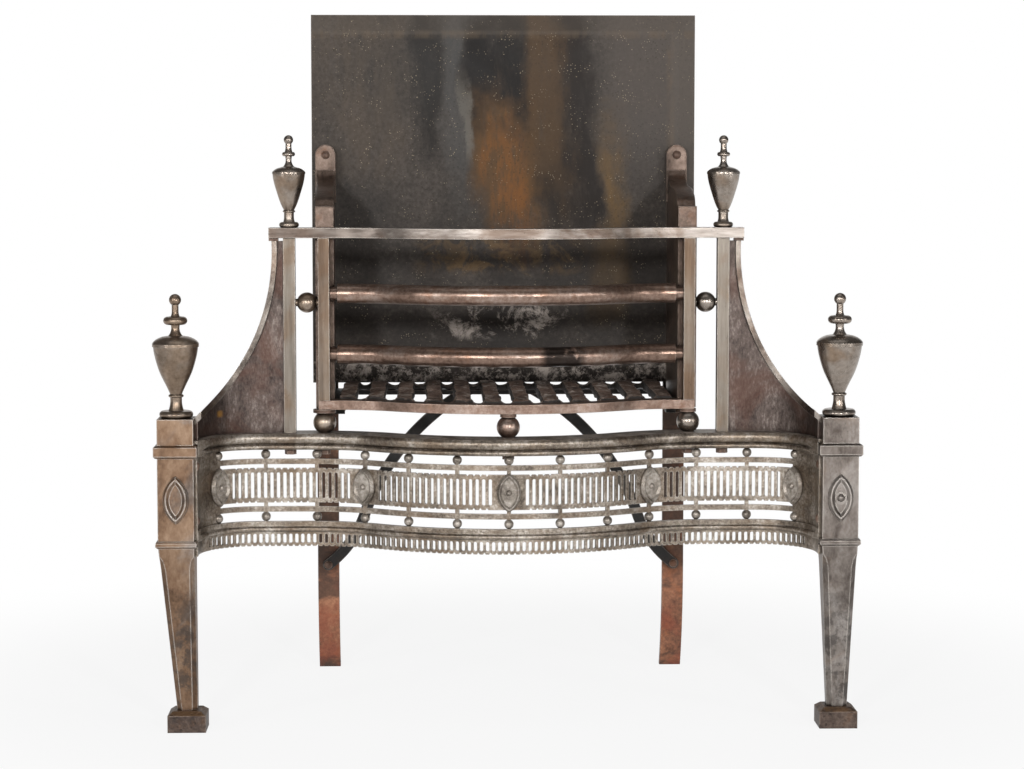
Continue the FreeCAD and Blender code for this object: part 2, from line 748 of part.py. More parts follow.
def fret_top_rail():
    """Deep moulded rail: a flat top, a rounded face, a groove and a bead below it."""
    nose_x = rail_front - rail_bulge
    nose_z = rail_top - rail_nose
    bead_x = rail_front - rail_hollow
    bead_z = band_z + rail_bead
    section = [((-rail_back, band_z), (-rail_back, rail_top)),
               ((-rail_back, rail_top), (nose_x, rail_top)),
               ((nose_x, rail_top), (rail_front, rail_top - rail_nose / 2), (nose_x, nose_z)),
               ((nose_x, nose_z), (bead_x, bead_z)),
               ((bead_x, bead_z), (rail_front - rail_bead_front, band_z + rail_bead / 2), (bead_x, band_z)),
               ((bead_x, band_z), (-rail_back, band_z))]
    rail = merge(FRET.sweep(section, 0, FRET.length)).cut(rail_tapers(rail_front))
    inner = post_x - band_side / 2
    cuts = []
    for side in (-1, 1):
        past = side * 2 * post_x
        for near, back, low, high in ((inner, band_side, band_z, block_z),
                                      (post_inner, band_side, block_z, cap_top),
                                      (inner + rail_lap, depth, band_z, cap_top)):
            cuts.append(box(min(side * near, past), max(side * near, past), -band_side, back, low, high))
        cuts.append(rod(standard_stud_r + play, Vector(side * standard_x, basket_y, band_z), UP, rail_h))
    for x, y in support_places():
        cuts.append(rod(support_stud_r + play, Vector(x, y, band_z), UP, rail_h))
    return rail.cut(cuts)


def fret_bottom_rail():
    """Flat fascia with a half-round bead below it, laid on the front of the sheet."""
    n = sheet_t / 2
    z = bottom_rail_z
    face = n + fascia_t
    bead_top = z + bottom_bead_h
    section = [((n, z), (n, bottom_rail_top)),
               ((n, bottom_rail_top), (face, bottom_rail_top)),
               ((face, bottom_rail_top), (face, bead_top)),
               ((face, bead_top), (face + bottom_bead_t, z + bottom_bead_h / 2), (face, z)),
               ((face, z), (n, z))]
    return merge(FRET.sweep(section, 0, FRET.length)).cut(rail_tapers(face + bottom_bead_t))


SHEET_BED = fret_blank(-4 * sheet_t, sheet_t / 2)


def fret_pearls():
    """Round pearls that straddle the column posts in the two open rows; half pearls at the ends."""
    pearls = []
    stations = columns()
    for s in stations:
        for z in (band_z - pearl_gap / 2, bottom_rail_top + pearl_gap / 2):
            point, heading = FRET.at(FRET_MIDDLE + s)
            ball = Part.makeSphere(pearl_d / 2, point + UP * z)
            if s in (stations[0], stations[-1]):
                pearls.append(ball.cut(SHEET_BED))
                continue
            half = column_w / 2 + play
            channel = box(-half, half, -sheet_t / 2 - play, pearl_d, z - pearl_d, z + pearl_d)
            channel.rotate(Vector(0, 0, 0), UP, math.degrees(heading))
            channel.translate(point)
            pearls.append(ball.cut(channel))
    return Part.makeCompound(pearls)


def fret_oval(s):
    """Pointed-oval patera, dished inside its rim round a pearl, bedded on the curved sheet."""
    point, heading = FRET.at(FRET_MIDDLE + s, sheet_t / 2)
    side = Vector(math.sin(heading), -math.cos(heading), 0)
    along = Vector(math.cos(heading), math.sin(heading), 0)
    centre = point + UP * ((fluted_top + fluted_bottom) / 2)

    def place(across, up, out):
        return centre + along * across + UP * up + side * out

    body = pointed_oval(place, oval_w, oval_h, [(0, -sheet_t), (0, oval_edge), (oval_crest, oval_proud)])
    field = pointed_oval(place, oval_w, oval_h,
                         [(oval_rim, oval_field), (oval_crest + oval_crest_w, oval_proud)])
    pearl = Part.makeSphere(oval_boss_r, centre + side * oval_field)
    return merge([body.cut(field), pearl]).cut(SHEET_BED)


# Wings between the basket's top rail and the posts

def wing_line():
    line = PlanLine(wing_inner_x - wing_gap, hollow_y + wing_setback, 0.0)
    line.straight(wing_gap + wing_flat)
    line.turn(fret_end_r, -math.pi / 2)
    line.straight(wing_tail)
    return line


WING = wing_line()
wing_top = rail_bar_z - pad_h


def wing_edge(radius):
    """Round cutter, seen from the front, that shapes the hollow outer edge of a wing."""
    centre = Vector(wing_edge_top_x + wing_edge_r, -depth, wing_top - pad_side)
    return rod(radius, centre, BACK, 3 * depth)


def wing_blank(back, front):
    return merge(WING.sweep(block_section(back, front, rail_top, wing_top), 0, WING.length))


def wing():
    sheet = wing_blank(-sheet_t / 2, wing_t - sheet_t / 2)
    return sheet.cut(wing_edge(wing_edge_r + bead_w)).cut(past_wing())


def wing_bead():
    bead = wing_blank(-sheet_t / 2, bead_t - sheet_t / 2).common(wing_edge(wing_edge_r + bead_w))
    return bead.cut(wing_edge(wing_edge_r)).cut(past_wing())


def past_wing():
    """What lies outside the wing's upper end, beyond the hollow edge."""
    return box(wing_edge_top_x + bead_w / 2, 2 * post_x, -depth, depth, wing_top - pad_side, wing_top)


def wing_pads():
    pads = []
    for side in (-1, 1):
        h = pad_side / 2
        x = side * (wing_inner_x + h)
        y = hollow_y + wing_setback
        pads.append(box(x - h, x + h, y - h, y + h, wing_top, rail_bar_z))
    return Part.makeCompound(pads)


# Basket

def support_places():
    return [(-upright_x, basket_y), (0.0, apex_bar_y), (upright_x, basket_y)]


def standard(x):
    """Square standard with a stud through the fret's top rail and a bore for the finial's stud."""
    h = standard_side / 2
    bar = box(x - h, x + h, basket_y - h, basket_y + h, rail_top, rail_bar_z)
    stud = rod(standard_stud_r, Vector(x, basket_y, band_z - nut_h), UP, nut_h + rail_h)
    bar = merge([bar, stud])
    stud_end = Vector(x, basket_y, rail_bar_z - finial_stud_l)
    bar = drilled(bar, finial_stud_r + play, stud_end, UP, finial_stud_l)
    side = math.copysign(1, x)
    inner = Vector(x - side * h, basket_y, spacer_ball_z)
    return drilled(bar, ball_pin_r + play, inner, RIGHT * side, ball_pin_l + play)


def nut(x, y, top, bore):
    r = nut_side / math.sqrt(3)
    points = [Vector(x + r * math.cos(a), y + r * math.sin(a), top - nut_h)
              for a in (math.radians(60 * k) for k in range(6))]
    return polygon(points).extrude(UP * nut_h).cut(rod(bore + play, Vector(x, y, top - nut_h), UP, nut_h))


def rail_nuts():
    nuts = [nut(side * standard_x, basket_y, band_z, standard_stud_r) for side in (-1, 1)]
    nuts += [nut(x, y, band_z, support_stud_r) for x, y in support_places()]
    return Part.makeCompound(nuts)


def basket_top_rail():
    section = block_section(-rail_bar_d / 2, rail_bar_d / 2, rail_bar_z, rail_bar_top)
    rail = merge(BASKET.sweep(section, 0, BASKET.length))
    for side in (-1, 1):
        below = Vector(side * standard_x, basket_y, rail_bar_z)
        rail = drilled(rail, finial_stud_r + play, below, UP, rail_bar_h)
    return rail


def basket_upright(side):
    """Upright bar of the basket, bored for the fire bars, the spacer ball and the support stud."""
    x = side * upright_x
    bar = box(x - upright_w / 2, x + upright_w / 2, basket_y - upright_d / 2, upright_back,
              bottom_bar_top, rail_bar_z)
    for z in fire_bar_zs:
        inside = Vector(x - upright_w, basket_y, z)
        bar = drilled(bar, fire_bar_tenon_r + play, inside, RIGHT, 2 * upright_w)
    outer = Vector(x + side * upright_w / 2, basket_y, spacer_ball_z)
    bar = drilled(bar, ball_pin_r + play, outer, RIGHT * -side, ball_pin_l + play)
    base = Vector(x, basket_y, bottom_bar_top)
    return drilled(bar, support_stud_r + play, base, UP, upright_bore_l + play)


def spacer_ball(side):
    """Turned ball with short necks and pins between a basket upright and a standard."""
    half = spacer_l / 2
    r = spacer_ball_d / 2
    waist = math.sqrt(r ** 2 - spacer_neck_r ** 2)
    end = half + ball_pin_l
    corners = [(-end, 0), (-end, ball_pin_r), (-half, ball_pin_r), (-half, spacer_neck_r),
               (-waist, spacer_neck_r)]
    segments = list(zip(corners, corners[1:]))
    segments.append(((-waist, spacer_neck_r), (0, r), (waist, spacer_neck_r)))
    other = [(-along, out) for along, out in reversed(corners)]
    segments += list(zip(other, other[1:]))
    segments.append(((end, 0), (-end, 0)))
    middle = Vector(side * (upright_x + upright_w / 2 + half), basket_y, spacer_ball_z)
    face = edges_to_face(segments, lambda along, out: middle + RIGHT * along + UP * out)
    return face.revolve(middle, RIGHT, 360)


def support_ball(x, y, reach):
    """Ball under the bottom bar, on a stud that runs up into the bar and down through the fret's rail."""
    middle = Vector(x, y, rail_top + support_ball_h / 2)
    r = support_ball_d / 2
    ball = Part.makeSphere(r, middle)
    ball = ball.common(box(x - r, x + r, y - r, y + r, rail_top, rail_top + support_ball_h))
    stud = rod(support_stud_r, Vector(x, y, band_z - nut_h), UP, reach - band_z + nut_h)
    return merge([ball, stud])


def support_washers():
    washers = []
    for (x, y), radius in zip(support_places(), support_washer_rs):
        base = Vector(x, y, rail_top + support_ball_h)
        ring = rod(radius, base, UP, support_washer_h)
        washers.append(drilled(ring, support_stud_r + play, base, UP, support_washer_h))
    return Part.makeCompound(washers)


def fire_bar(z):
    """Round bowed bar with a shoulder and a tenon at each end."""
    r = fire_bar_d / 2
    inner = upright_x - upright_w / 2
    s = BASKET.s_at_x(inner - fire_bar_shoulder)
    section = [((-r, z), (0, z + r), (r, z)), ((r, z), (0, z - r), (-r, z))]
    solids = BASKET.sweep(section, BASKET.length - s, s)
    for side in (-1, 1):
        start = Vector(side * (inner - 2 * fire_bar_shoulder), basket_y, z)
        solids.append(rod(fire_bar_shoulder_r, start, RIGHT * side, 2 * fire_bar_shoulder))
        solids.append(rod(fire_bar_tenon_r, start, RIGHT * side, 2 * fire_bar_shoulder + upright_w))
    return merge(solids)


def bottom_bar():
    end = upright_x + upright_w / 2
    s = BASKET.s_at_x(end)
    section = block_section(-upright_d / 2, bottom_bar_front, bottom_bar_z, bottom_bar_top)
    bar = merge(BASKET.sweep(section, BASKET.length - s, s))
    for x, y in support_places():
        bar = drilled(bar, support_stud_r + play, Vector(x, y, bottom_bar_z), UP, bottom_bar_h)
    return bar


# Cheeks, back plate, bearers and the loose grate

def splayed(shape):
    """Turns a right-hand piece outwards about the front inner edge of the cheek."""
    turned = shape.copy()
    turned.rotate(Vector(cheek_x, upright_back, 0), UP, -cheek_splay)
    return turned


def cheek_top():
    """Ogee along the top of a cheek, from the block at the front to the lug, as (back, up)."""
    y0 = upright_back + cheek_block_d
    z0 = rail_bar_top + cheek_block_h
    swell_y = y0 + cheek_swell_l
    rear_y = plate_y - lug_t
    rear_z = z0 + cheek_swell_h + cheek_hollow_h
    turns = [math.radians(18 * k) for k in range(6)]
    swell_part = [(swell_y - cheek_swell_l * math.cos(a), z0 + cheek_swell_h * math.sin(a)) for a in turns]
    hollow_part = [(swell_y + (rear_y - swell_y) * math.sin(a), rear_z - cheek_hollow_h * math.cos(a))
                   for a in turns]
    return swell_part + hollow_part[1:]


def cheek():
    """Right cheek: a cast side with an ogee top, a block at the front and a lug at the back."""
    points = cheek_top()
    (block_y, block_top), (rear_y, rear_z) = points[0], points[-1]
    past_plate = plate_y + plate_t

    def at(y, z):
        return Vector(cheek_x, y, z)

    ogee = Part.BSplineCurve()
    ogee.interpolate([at(*point) for point in points])
    corners = [at(rear_y, rear_z), at(past_plate, rear_z), at(past_plate, grate_z),
               at(bearer_end, grate_z), at(bearer_end, bearer_z),
               at(block_y, bearer_z), at(block_y, bottom_bar_z), at(upright_back, bottom_bar_z),
               at(upright_back, block_top), at(block_y, block_top)]
    edges = [ogee.toShape()]
    edges += [Part.makeLine(corners[i], corners[i + 1]) for i in range(len(corners) - 1)]
    side = Part.Face(Part.Wire(edges)).extrude(RIGHT * cheek_t)
    for y in bearer_rivet_ys():
        side = drilled(side, rivet_r + play, at(y, bearer_z + bearer_h / 2), RIGHT, cheek_t)
    side = splayed(side)
    lug_r = lug_w / 2
    lug = merge([box(lug_x - lug_r, lug_x + lug_r, rear_y, plate_y, block_top, lug_z),
                 rod(lug_r, Vector(lug_x, rear_y, lug_z), BACK, lug_t)])
    casting = merge([side, lug])
    far = 2 * lug_x
    casting = casting.cut([box(0, far, 0, upright_back, 0, rail_bar_top + lug_h),
                           box(0, far, plate_y, depth, 0, rail_bar_top + lug_h),
                           box(0, far, 0, basket_y + rail_bar_d / 2, rail_bar_z, rail_bar_top)])
    return drilled(casting, rivet_r + play, Vector(lug_x, rear_y, lug_z), BACK, lug_t)


def bearer_rivet_ys():
    return (upright_back + cheek_l / 4, upright_back + 2 * cheek_l / 3)


def back_plate():
    """Cast plate with a bevelled border on its front."""
    left = plate_shift - plate_w / 2
    right = plate_shift + plate_w / 2
    top = plate_z + plate_h

    def border(inset, y):
        points = [Vector(left + inset, y, plate_z + inset), Vector(right - inset, y, plate_z + inset),
                  Vector(right - inset, y, top - inset), Vector(left + inset, y, top - inset)]
        return Part.makePolygon(points + [points[0]])

    step = plate_y + plate_bevel_d
    plate = merge([box(left, right, step, plate_back, plate_z, top),
                   Part.makeLoft([border(0, step), border(plate_bevel, plate_y)], True, True)])
    for side in (-1, 1):
        plate = drilled(plate, rivet_r + play, Vector(side * lug_x, plate_y, lug_z), BACK, plate_t)
        for z in leg_bolt_zs():
            plate = drilled(plate, rivet_r + play, Vector(side * rear_leg_x, plate_y, z), BACK, plate_t)
    return plate


def cheek_rivets():
    return Part.makeCompound([rivet(Vector(side * lug_x, plate_y - lug_t, lug_z), BACK, lug_t + plate_t)
                              for side in (-1, 1)])


def side_bearer():
    """Ledge riveted inside the right cheek for the loose grate to lie on."""
    inner = cheek_x - bearer_w
    bar = box(inner, cheek_x, upright_back + bearer_front, bearer_end, bearer_z, grate_z)
    for y in bearer_rivet_ys():
        bar = drilled(bar, rivet_r + play, Vector(inner, y, bearer_z + bearer_h / 2), RIGHT, bearer_w)
    return splayed(bar)


def bearer_rivets():
    start_x = cheek_x - bearer_w
    right = [splayed(rivet(Vector(start_x, y, bearer_z + bearer_h / 2), RIGHT, bearer_w + cheek_t))
             for y in bearer_rivet_ys()]
    return Part.makeCompound(right + [mirrored(pin) for pin in right])


def rear_bearer():
    """Bar across the back, between the rear legs, that carries the grate and the braces."""
    bar = box(-rear_leg_x, rear_leg_x, plate_y - rear_bearer_d, plate_back, rear_bearer_z, grate_z)
    for x in brace_top_xs():
        below = Vector(x, plate_back - brace_t / 2, rear_bearer_z)
        bar = drilled(bar, rivet_r + play, below, UP, rear_bearer_h)
    return bar


def bottom_grate():
    """Loose cast grate: bars from front to back between a bowed front bar and a rear bar."""
    end_top = grate_z + grate_end_h
    edge = -upright_d / 2 - grate_front_gap
    s = BASKET.s_at_x(grate_half_w)
    front_bar = block_section(edge - grate_front_w, edge, grate_z, end_top)
    solids = BASKET.sweep(front_bar, BASKET.length - s, s)
    solids.append(box(-grate_half_w, grate_half_w, grate_rear - grate_rear_w, grate_rear, grate_z, end_top))
    h = grate_bar_w / 2
    pitch = 2 * (grate_half_w - h) / (grate_bars - 1)
    for k in range(grate_bars):
        x = -grate_half_w + h + pitch * k
        solids.append(box(x - h, x + h, apex_bar_y, grate_rear, grate_z, grate_z + grate_h))
    ahead = BASKET.sweep(block_section(edge, basket_bow + upright_d, 0, rail_bar_z), 0, BASKET.length)
    return merge(solids).cut(ahead)


# Rear legs and braces

def leg_bolt_zs():
    return (plate_z + plate_bevel + rivet_head_r, rear_leg_top - plate_bevel)


def rear_leg(x):
    """Flat bar bolted behind the plate, its foot swept back to the floor."""
    h = rear_leg_w / 2
    straight = box(x - h, x + h, plate_back, plate_back + rear_leg_t, rear_leg_bend_z, rear_leg_top)
    back = plate_back + rear_leg_t
    plan = [(x - h, plate_back), (x + h, plate_back), (x + h, back), (x - h, back)]
    section = polygon([Vector(px, py, rear_leg_bend_z) for px, py in plan])
    centre = Vector(x, leg_centre_y + rear_leg_bend_r, rear_leg_bend_z)
    foot_sweep = section.revolve(centre, RIGHT, math.degrees(2 * rear_leg_bend_z / rear_leg_bend_r))
    bar = merge([straight, foot_sweep]).cut(box(x - post_x, x + post_x, 0, 2 * depth, -depth, 0))
    for z in leg_bolt_zs():
        bar = drilled(bar, rivet_r + play, Vector(x, plate_back, z), BACK, rear_leg_t)
    return drilled(bar, rivet_r + play, Vector(x, plate_back, brace_foot_z), BACK, rear_leg_t)


def leg_bolts():
    bolts = []
    for side in (-1, 1):
        for z in leg_bolt_zs():
            seat = Vector(side * rear_leg_x, plate_back + rear_leg_t, z)
            bolts.append(rivet(seat, -BACK, rear_leg_t + plate_t))
    return Part.makeCompound(bolts)


def brace_centres():
    """Centres of the lower and the upper sweep of the right brace, in the plane of its strap."""
    end = math.radians(180 + brace_foot_angle)
    turn = math.radians(180 + brace_turn_angle)
    low = (rear_leg_x - brace_lower_r * math.cos(end), brace_foot_z - brace_lower_r * math.sin(end))
    joint = (low[0] + brace_lower_r * math.cos(turn), low[1] + brace_lower_r * math.sin(turn))
    high = (joint[0] + brace_upper_r * math.cos(turn), joint[1] + brace_upper_r * math.sin(turn))
    return low, high


def brace_top_xs():
    high = brace_centres()[1]
    x = high[0] + math.sqrt(brace_upper_r ** 2 - (rear_bearer_z - high[1]) ** 2)
    return (-x, x)


def brace():
    """Right S-curved strap from the rear leg up to the rear bearer."""
    low, high = brace_centres()
    y0 = plate_back - brace_t

    def ring(centre, radius, a0, a1):
        near = radius - brace_w / 2
        far = radius + brace_w / 2
        middle = (a0 + a1) / 2
        corners = []
        for r, a in ((near, a0), (near, middle), (near, a1), (far, a1), (far, middle), (far, a0)):
            turn = math.radians(a)
            corners.append((centre[0] + r * math.cos(turn), centre[1] + r * math.sin(turn)))
        segments = [corners[0:3], (corners[2], corners[3]), corners[3:6], (corners[5], corners[0])]
        return edges_to_face(segments, lambda x, z: Vector(x, y0, z)).extrude(BACK * brace_t)

    rise = math.degrees(math.asin((rear_bearer_z - high[1]) / brace_upper_r))
    lower = ring(low, brace_lower_r, 180 + brace_turn_angle, 180 + brace_foot_angle)
    upper = ring(high, brace_upper_r, brace_turn_angle, rise + math.degrees(2 * brace_w / brace_upper_r))
    end = rod(brace_w / 2, Vector(rear_leg_x, y0, brace_foot_z), BACK, brace_t)
    strap = merge([lower, upper, end])
    strap = strap.cut(box(-post_x, post_x, 0, depth, rear_bearer_z, rear_bearer_z + 4 * brace_w))
    strap = drilled(strap, rivet_r + play, Vector(rear_leg_x, y0, brace_foot_z), BACK, brace_t)
    top = Vector(brace_top_xs()[1], y0 + brace_t / 2, rear_bearer_z - brace_pin_l)
    return drilled(strap, rivet_r + play, top, UP, brace_pin_l)


def brace_rivets():
    rivets = []
    for side, x in zip((-1, 1), brace_top_xs()):
        front = Vector(side * rear_leg_x, plate_back - brace_t, brace_foot_z)
        rivets.append(rivet(front, BACK, brace_t + rear_leg_t))
        below = Vector(x, plate_back - brace_t / 2, rear_bearer_z - brace_pin_l)
        rivets.append(rod(rivet_r, below, UP, brace_pin_l + rear_bearer_h))
    return Part.makeCompound(rivets)


# Every piece, by name

left_foot_x = -post_x + leg_lean_left
stud_into_bar = bottom_bar_top
stud_into_upright = bottom_bar_top + upright_bore_l
support_reach = (stud_into_upright, stud_into_bar, stud_into_upright)

PIECES = {
    "foot_left": foot(left_foot_x),
    "foot_right": foot(post_x),
    "leg_left": leg(-post_x, left_foot_x),
    "leg_right": leg(post_x, post_x),
    "post_die_left": post_die(-post_x),
    "post_die_right": post_die(post_x),
    "post_cap_left": post_cap(-post_x),
    "post_cap_right": post_cap(post_x),
    "post_patera_left": post_patera(-post_x, False),
    "post_patera_right": post_patera(post_x, True),
    "front_finial_left": urn(-post_x, post_y, cap_top, front_urn, finial_stud_l),
    "front_finial_right": urn(post_x, post_y, cap_top, front_urn, finial_stud_l),
    "fret_sheet": fret_sheet(),
    "fret_screws": fret_screws(),
    "fret_top_rail": fret_top_rail(),
    "fret_bottom_rail": fret_bottom_rail(),
    "fret_pearls": fret_pearls(),
    "wing_right": wing(),
    "wing_left": mirrored(wing()),
    "wing_bead_right": wing_bead(),
    "wing_bead_left": mirrored(wing_bead()),
    "wing_pads": wing_pads(),
    "standard_left": standard(-standard_x),
    "standard_right": standard(standard_x),
    "rail_nuts": rail_nuts(),
    "basket_top_rail": basket_top_rail(),
    "basket_upright_left": basket_upright(-1),
    "basket_upright_right": basket_upright(1),
    "spacer_ball_left": spacer_ball(-1),
    "spacer_ball_right": spacer_ball(1),
    "support_washers": support_washers(),
    "fire_bar_lower": fire_bar(fire_bar_zs[0]),
    "fire_bar_upper": fire_bar(fire_bar_zs[1]),
    "bottom_bar": bottom_bar(),
    "cheek_right": cheek(),
    "cheek_left": mirrored(cheek()),
    "cheek_rivets": cheek_rivets(),
    "back_plate": back_plate(),
    "side_bearer_right": side_bearer(),
    "side_bearer_left": mirrored(side_bearer()),
    "bearer_rivets": bearer_rivets(),
    "rear_bearer": rear_bearer(),
    "bottom_grate": bottom_grate(),
    "rear_leg_left": rear_leg(-rear_leg_x),
    "rear_leg_right": rear_leg(rear_leg_x),
    "leg_bolts": leg_bolts(),
    "brace_right": brace(),
    "brace_left": mirrored(brace()),
    "brace_rivets": brace_rivets(),
}
for side_name, side in (("left", -1), ("right", 1)):
    rear_stud = rail_bar_h + finial_stud_l - play
    PIECES["rear_finial_" + side_name] = urn(side * standard_x, basket_y, rail_bar_top, rear_urn, rear_stud)
for place_name, (x, y), reach in zip(("left", "centre", "right"), support_places(), support_reach):
    PIECES["support_ball_" + place_name] = support_ball(x, y, reach)
for number, s in enumerate(oval_columns(), 1):
    PIECES["fret_oval_%d" % number] = fret_oval(s)

for name, shape in PIECES.items():
    shape.translate(Vector(0, -(front + depth) / 2, 0))
    solids = shape.Solids
    sound = all(solid.isValid() and solid.Volume > 0 for solid in solids)
    print(name, len(solids), "sound" if sound else "NOT SOUND")
    shape.exportStep("parts/%s.step" % name)
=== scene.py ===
import json
import math

import bpy
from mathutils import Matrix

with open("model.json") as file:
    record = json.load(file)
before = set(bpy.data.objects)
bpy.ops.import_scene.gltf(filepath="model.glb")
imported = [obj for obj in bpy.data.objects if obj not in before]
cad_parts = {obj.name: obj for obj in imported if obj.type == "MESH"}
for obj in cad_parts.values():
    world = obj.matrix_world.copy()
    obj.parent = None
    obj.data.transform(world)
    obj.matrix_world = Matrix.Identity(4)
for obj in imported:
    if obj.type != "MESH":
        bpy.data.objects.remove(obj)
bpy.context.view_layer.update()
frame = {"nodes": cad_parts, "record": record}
NODES = frame["nodes"]

# Camera, in metres and degrees, with the image taken as 1024 x 769
CAMERA_PLACE = (-0.0917, -3.2094, 0.6649)
CAMERA_PITCH = 5.0          # looking down
CAMERA_TURN = 1.8           # looking to the right
CAMERA_LENS = 93.1          # millimetres
CAMERA_SENSOR = 36.0        # width, millimetres
CAMERA_REACH = 50.0         # metres

# Softboxes: name, place, target and size in metres, power in watts
SOFTBOXES = (
    ("front_left", (-0.85, -3.1, 1.0), (0, 0, 0.45), (0.16, 0.2), 31),
    ("front_right", (0.85, -3.1, 1.0), (0, 0, 0.45), (0.16, 0.2), 30),
    ("side_left", (-2.2, -2.3, 0.9), (0, 0, 0.4), (0.35, 1.2), 17),
    ("side_right", (2.3, -2.2, 0.9), (0, 0, 0.4), (0.35, 1.2), 16),
    ("top", (0, -0.5, 2.6), (0, 0, 0.3), (2.2, 1.4), 6),
)

# White floor: half width and the distances over which it fades to pure white, in metres
FLOOR_HALF = 9.0
FLOOR_COLOUR = (0.86, 0.86, 0.86, 1)
FLOOR_FADE = (0.45, 1.1)
FLOOR_NEAR_WHITE = 0.88     # share of pure white beside the object

# Studio walls: place from front (0) to back (1) and brightness; the last one is the white backdrop
WALLS = ((0.0, 0.13), (0.2, 0.12), (0.45, 0.08), (0.9, 0.12), (0.965, 1.0))

# Wear of the loose grate, in metres
SCALE_SIZE = 0.0026
LUMP_SIZE = 0.018
LUMP_DEPTH = 0.007
LUMP_MIDDLE = 0.62          # above one half, the bars lose more than they gain

SHADE_SAMPLES = 4           # of the edge and crevice masks

# Marks along one axis, in metres: where one starts, is full, fades and ends
WING_SPOT_X = (-0.341, -0.337, -0.336, -0.332)
WING_SPOT_Z = (0.355, 0.359, 0.362, 0.366)
BAR_SOOT_X = (0.034, 0.046, 0.08, 0.096)
BAR_SOOT_Z = (0.4, 0.41, 0.45, 0.47)
PLATE_GLINT_X = (-0.04, -0.032, -0.028, -0.02)
PLATE_GLINT_Z = (0.64, 0.68, 0.72, 0.78)
PLATE_SMUDGE_X = (-0.12, -0.08, 0.08, 0.12)
PLATE_SMUDGE_Z = (0.505, 0.522, 0.545, 0.57)
PLATE_ASH_X = (-0.1, -0.05, 0.05, 0.11)
PLATE_ASH_Z = (0.425, 0.44, 0.465, 0.485)

# Marks that run on to an end, in metres: where one starts and is full
PLATE_PALE_X = (0.1, 0.16)
PLATE_PALE_Z = (0.58, 0.72)
PLATE_SOOT_Z = (0.6, 0.54)
PLATE_ASH_BELOW_Z = (0.41, 0.4)
PLATE_FRONT_Y = (0.1565, 0.151)
GRATE_SOOT_Y = (0.06, 0.13)
LEG_DARK_Z = (0.1, 0.2)
LEG_RED_Z = (0.12, 0.04)

# Lines of the back plate's bevelled border, in metres
PLATE_BORDER_TOP = 0.815
PLATE_BORDER_RIGHT = 0.216

# Stains of the back plate: left, right, bottom and top in metres
PLATE_BROWN = (-0.22, -0.12, 0.64, 0.9)
PLATE_ORANGE = (-0.010, 0.03, 0.54, 0.69)

# More of them, laid one over another: left, right, bottom and top in metres, strength, screen colour
PLATE_STAINS = (
    (-0.104, -0.070, 0.66, 0.95, 0.85, (34, 31, 29)),
    (-0.066, -0.028, 0.62, 0.95, 0.5, (80, 80, 79)),
    (0.026, 0.090, 0.58, 0.95, 0.85, (78, 58, 37)),
    (-0.026, 0.040, 0.55, 0.77, 0.9, (92, 66, 38)),
    (0.080, 0.114, 0.56, 0.95, 0.95, (34, 27, 23)),
    (0.118, 0.138, 0.46, 0.68, 0.8, (112, 86, 50)),
    (-0.032, 0.034, 0.715, 0.85, 1.0, (24, 20, 18)),
    (0.044, 0.076, 0.56, 0.64, 0.9, (30, 25, 22)),
)


def srgb(red, green, blue):
    """Linear colour of a screen colour given in 0 to 255."""
    def linear(level):
        share = level / 255
        return share / 12.92 if share <= 0.04045 else ((share + 0.055) / 1.055) ** 2.4
    return (linear(red), linear(green), linear(blue), 1.0)


# Node building

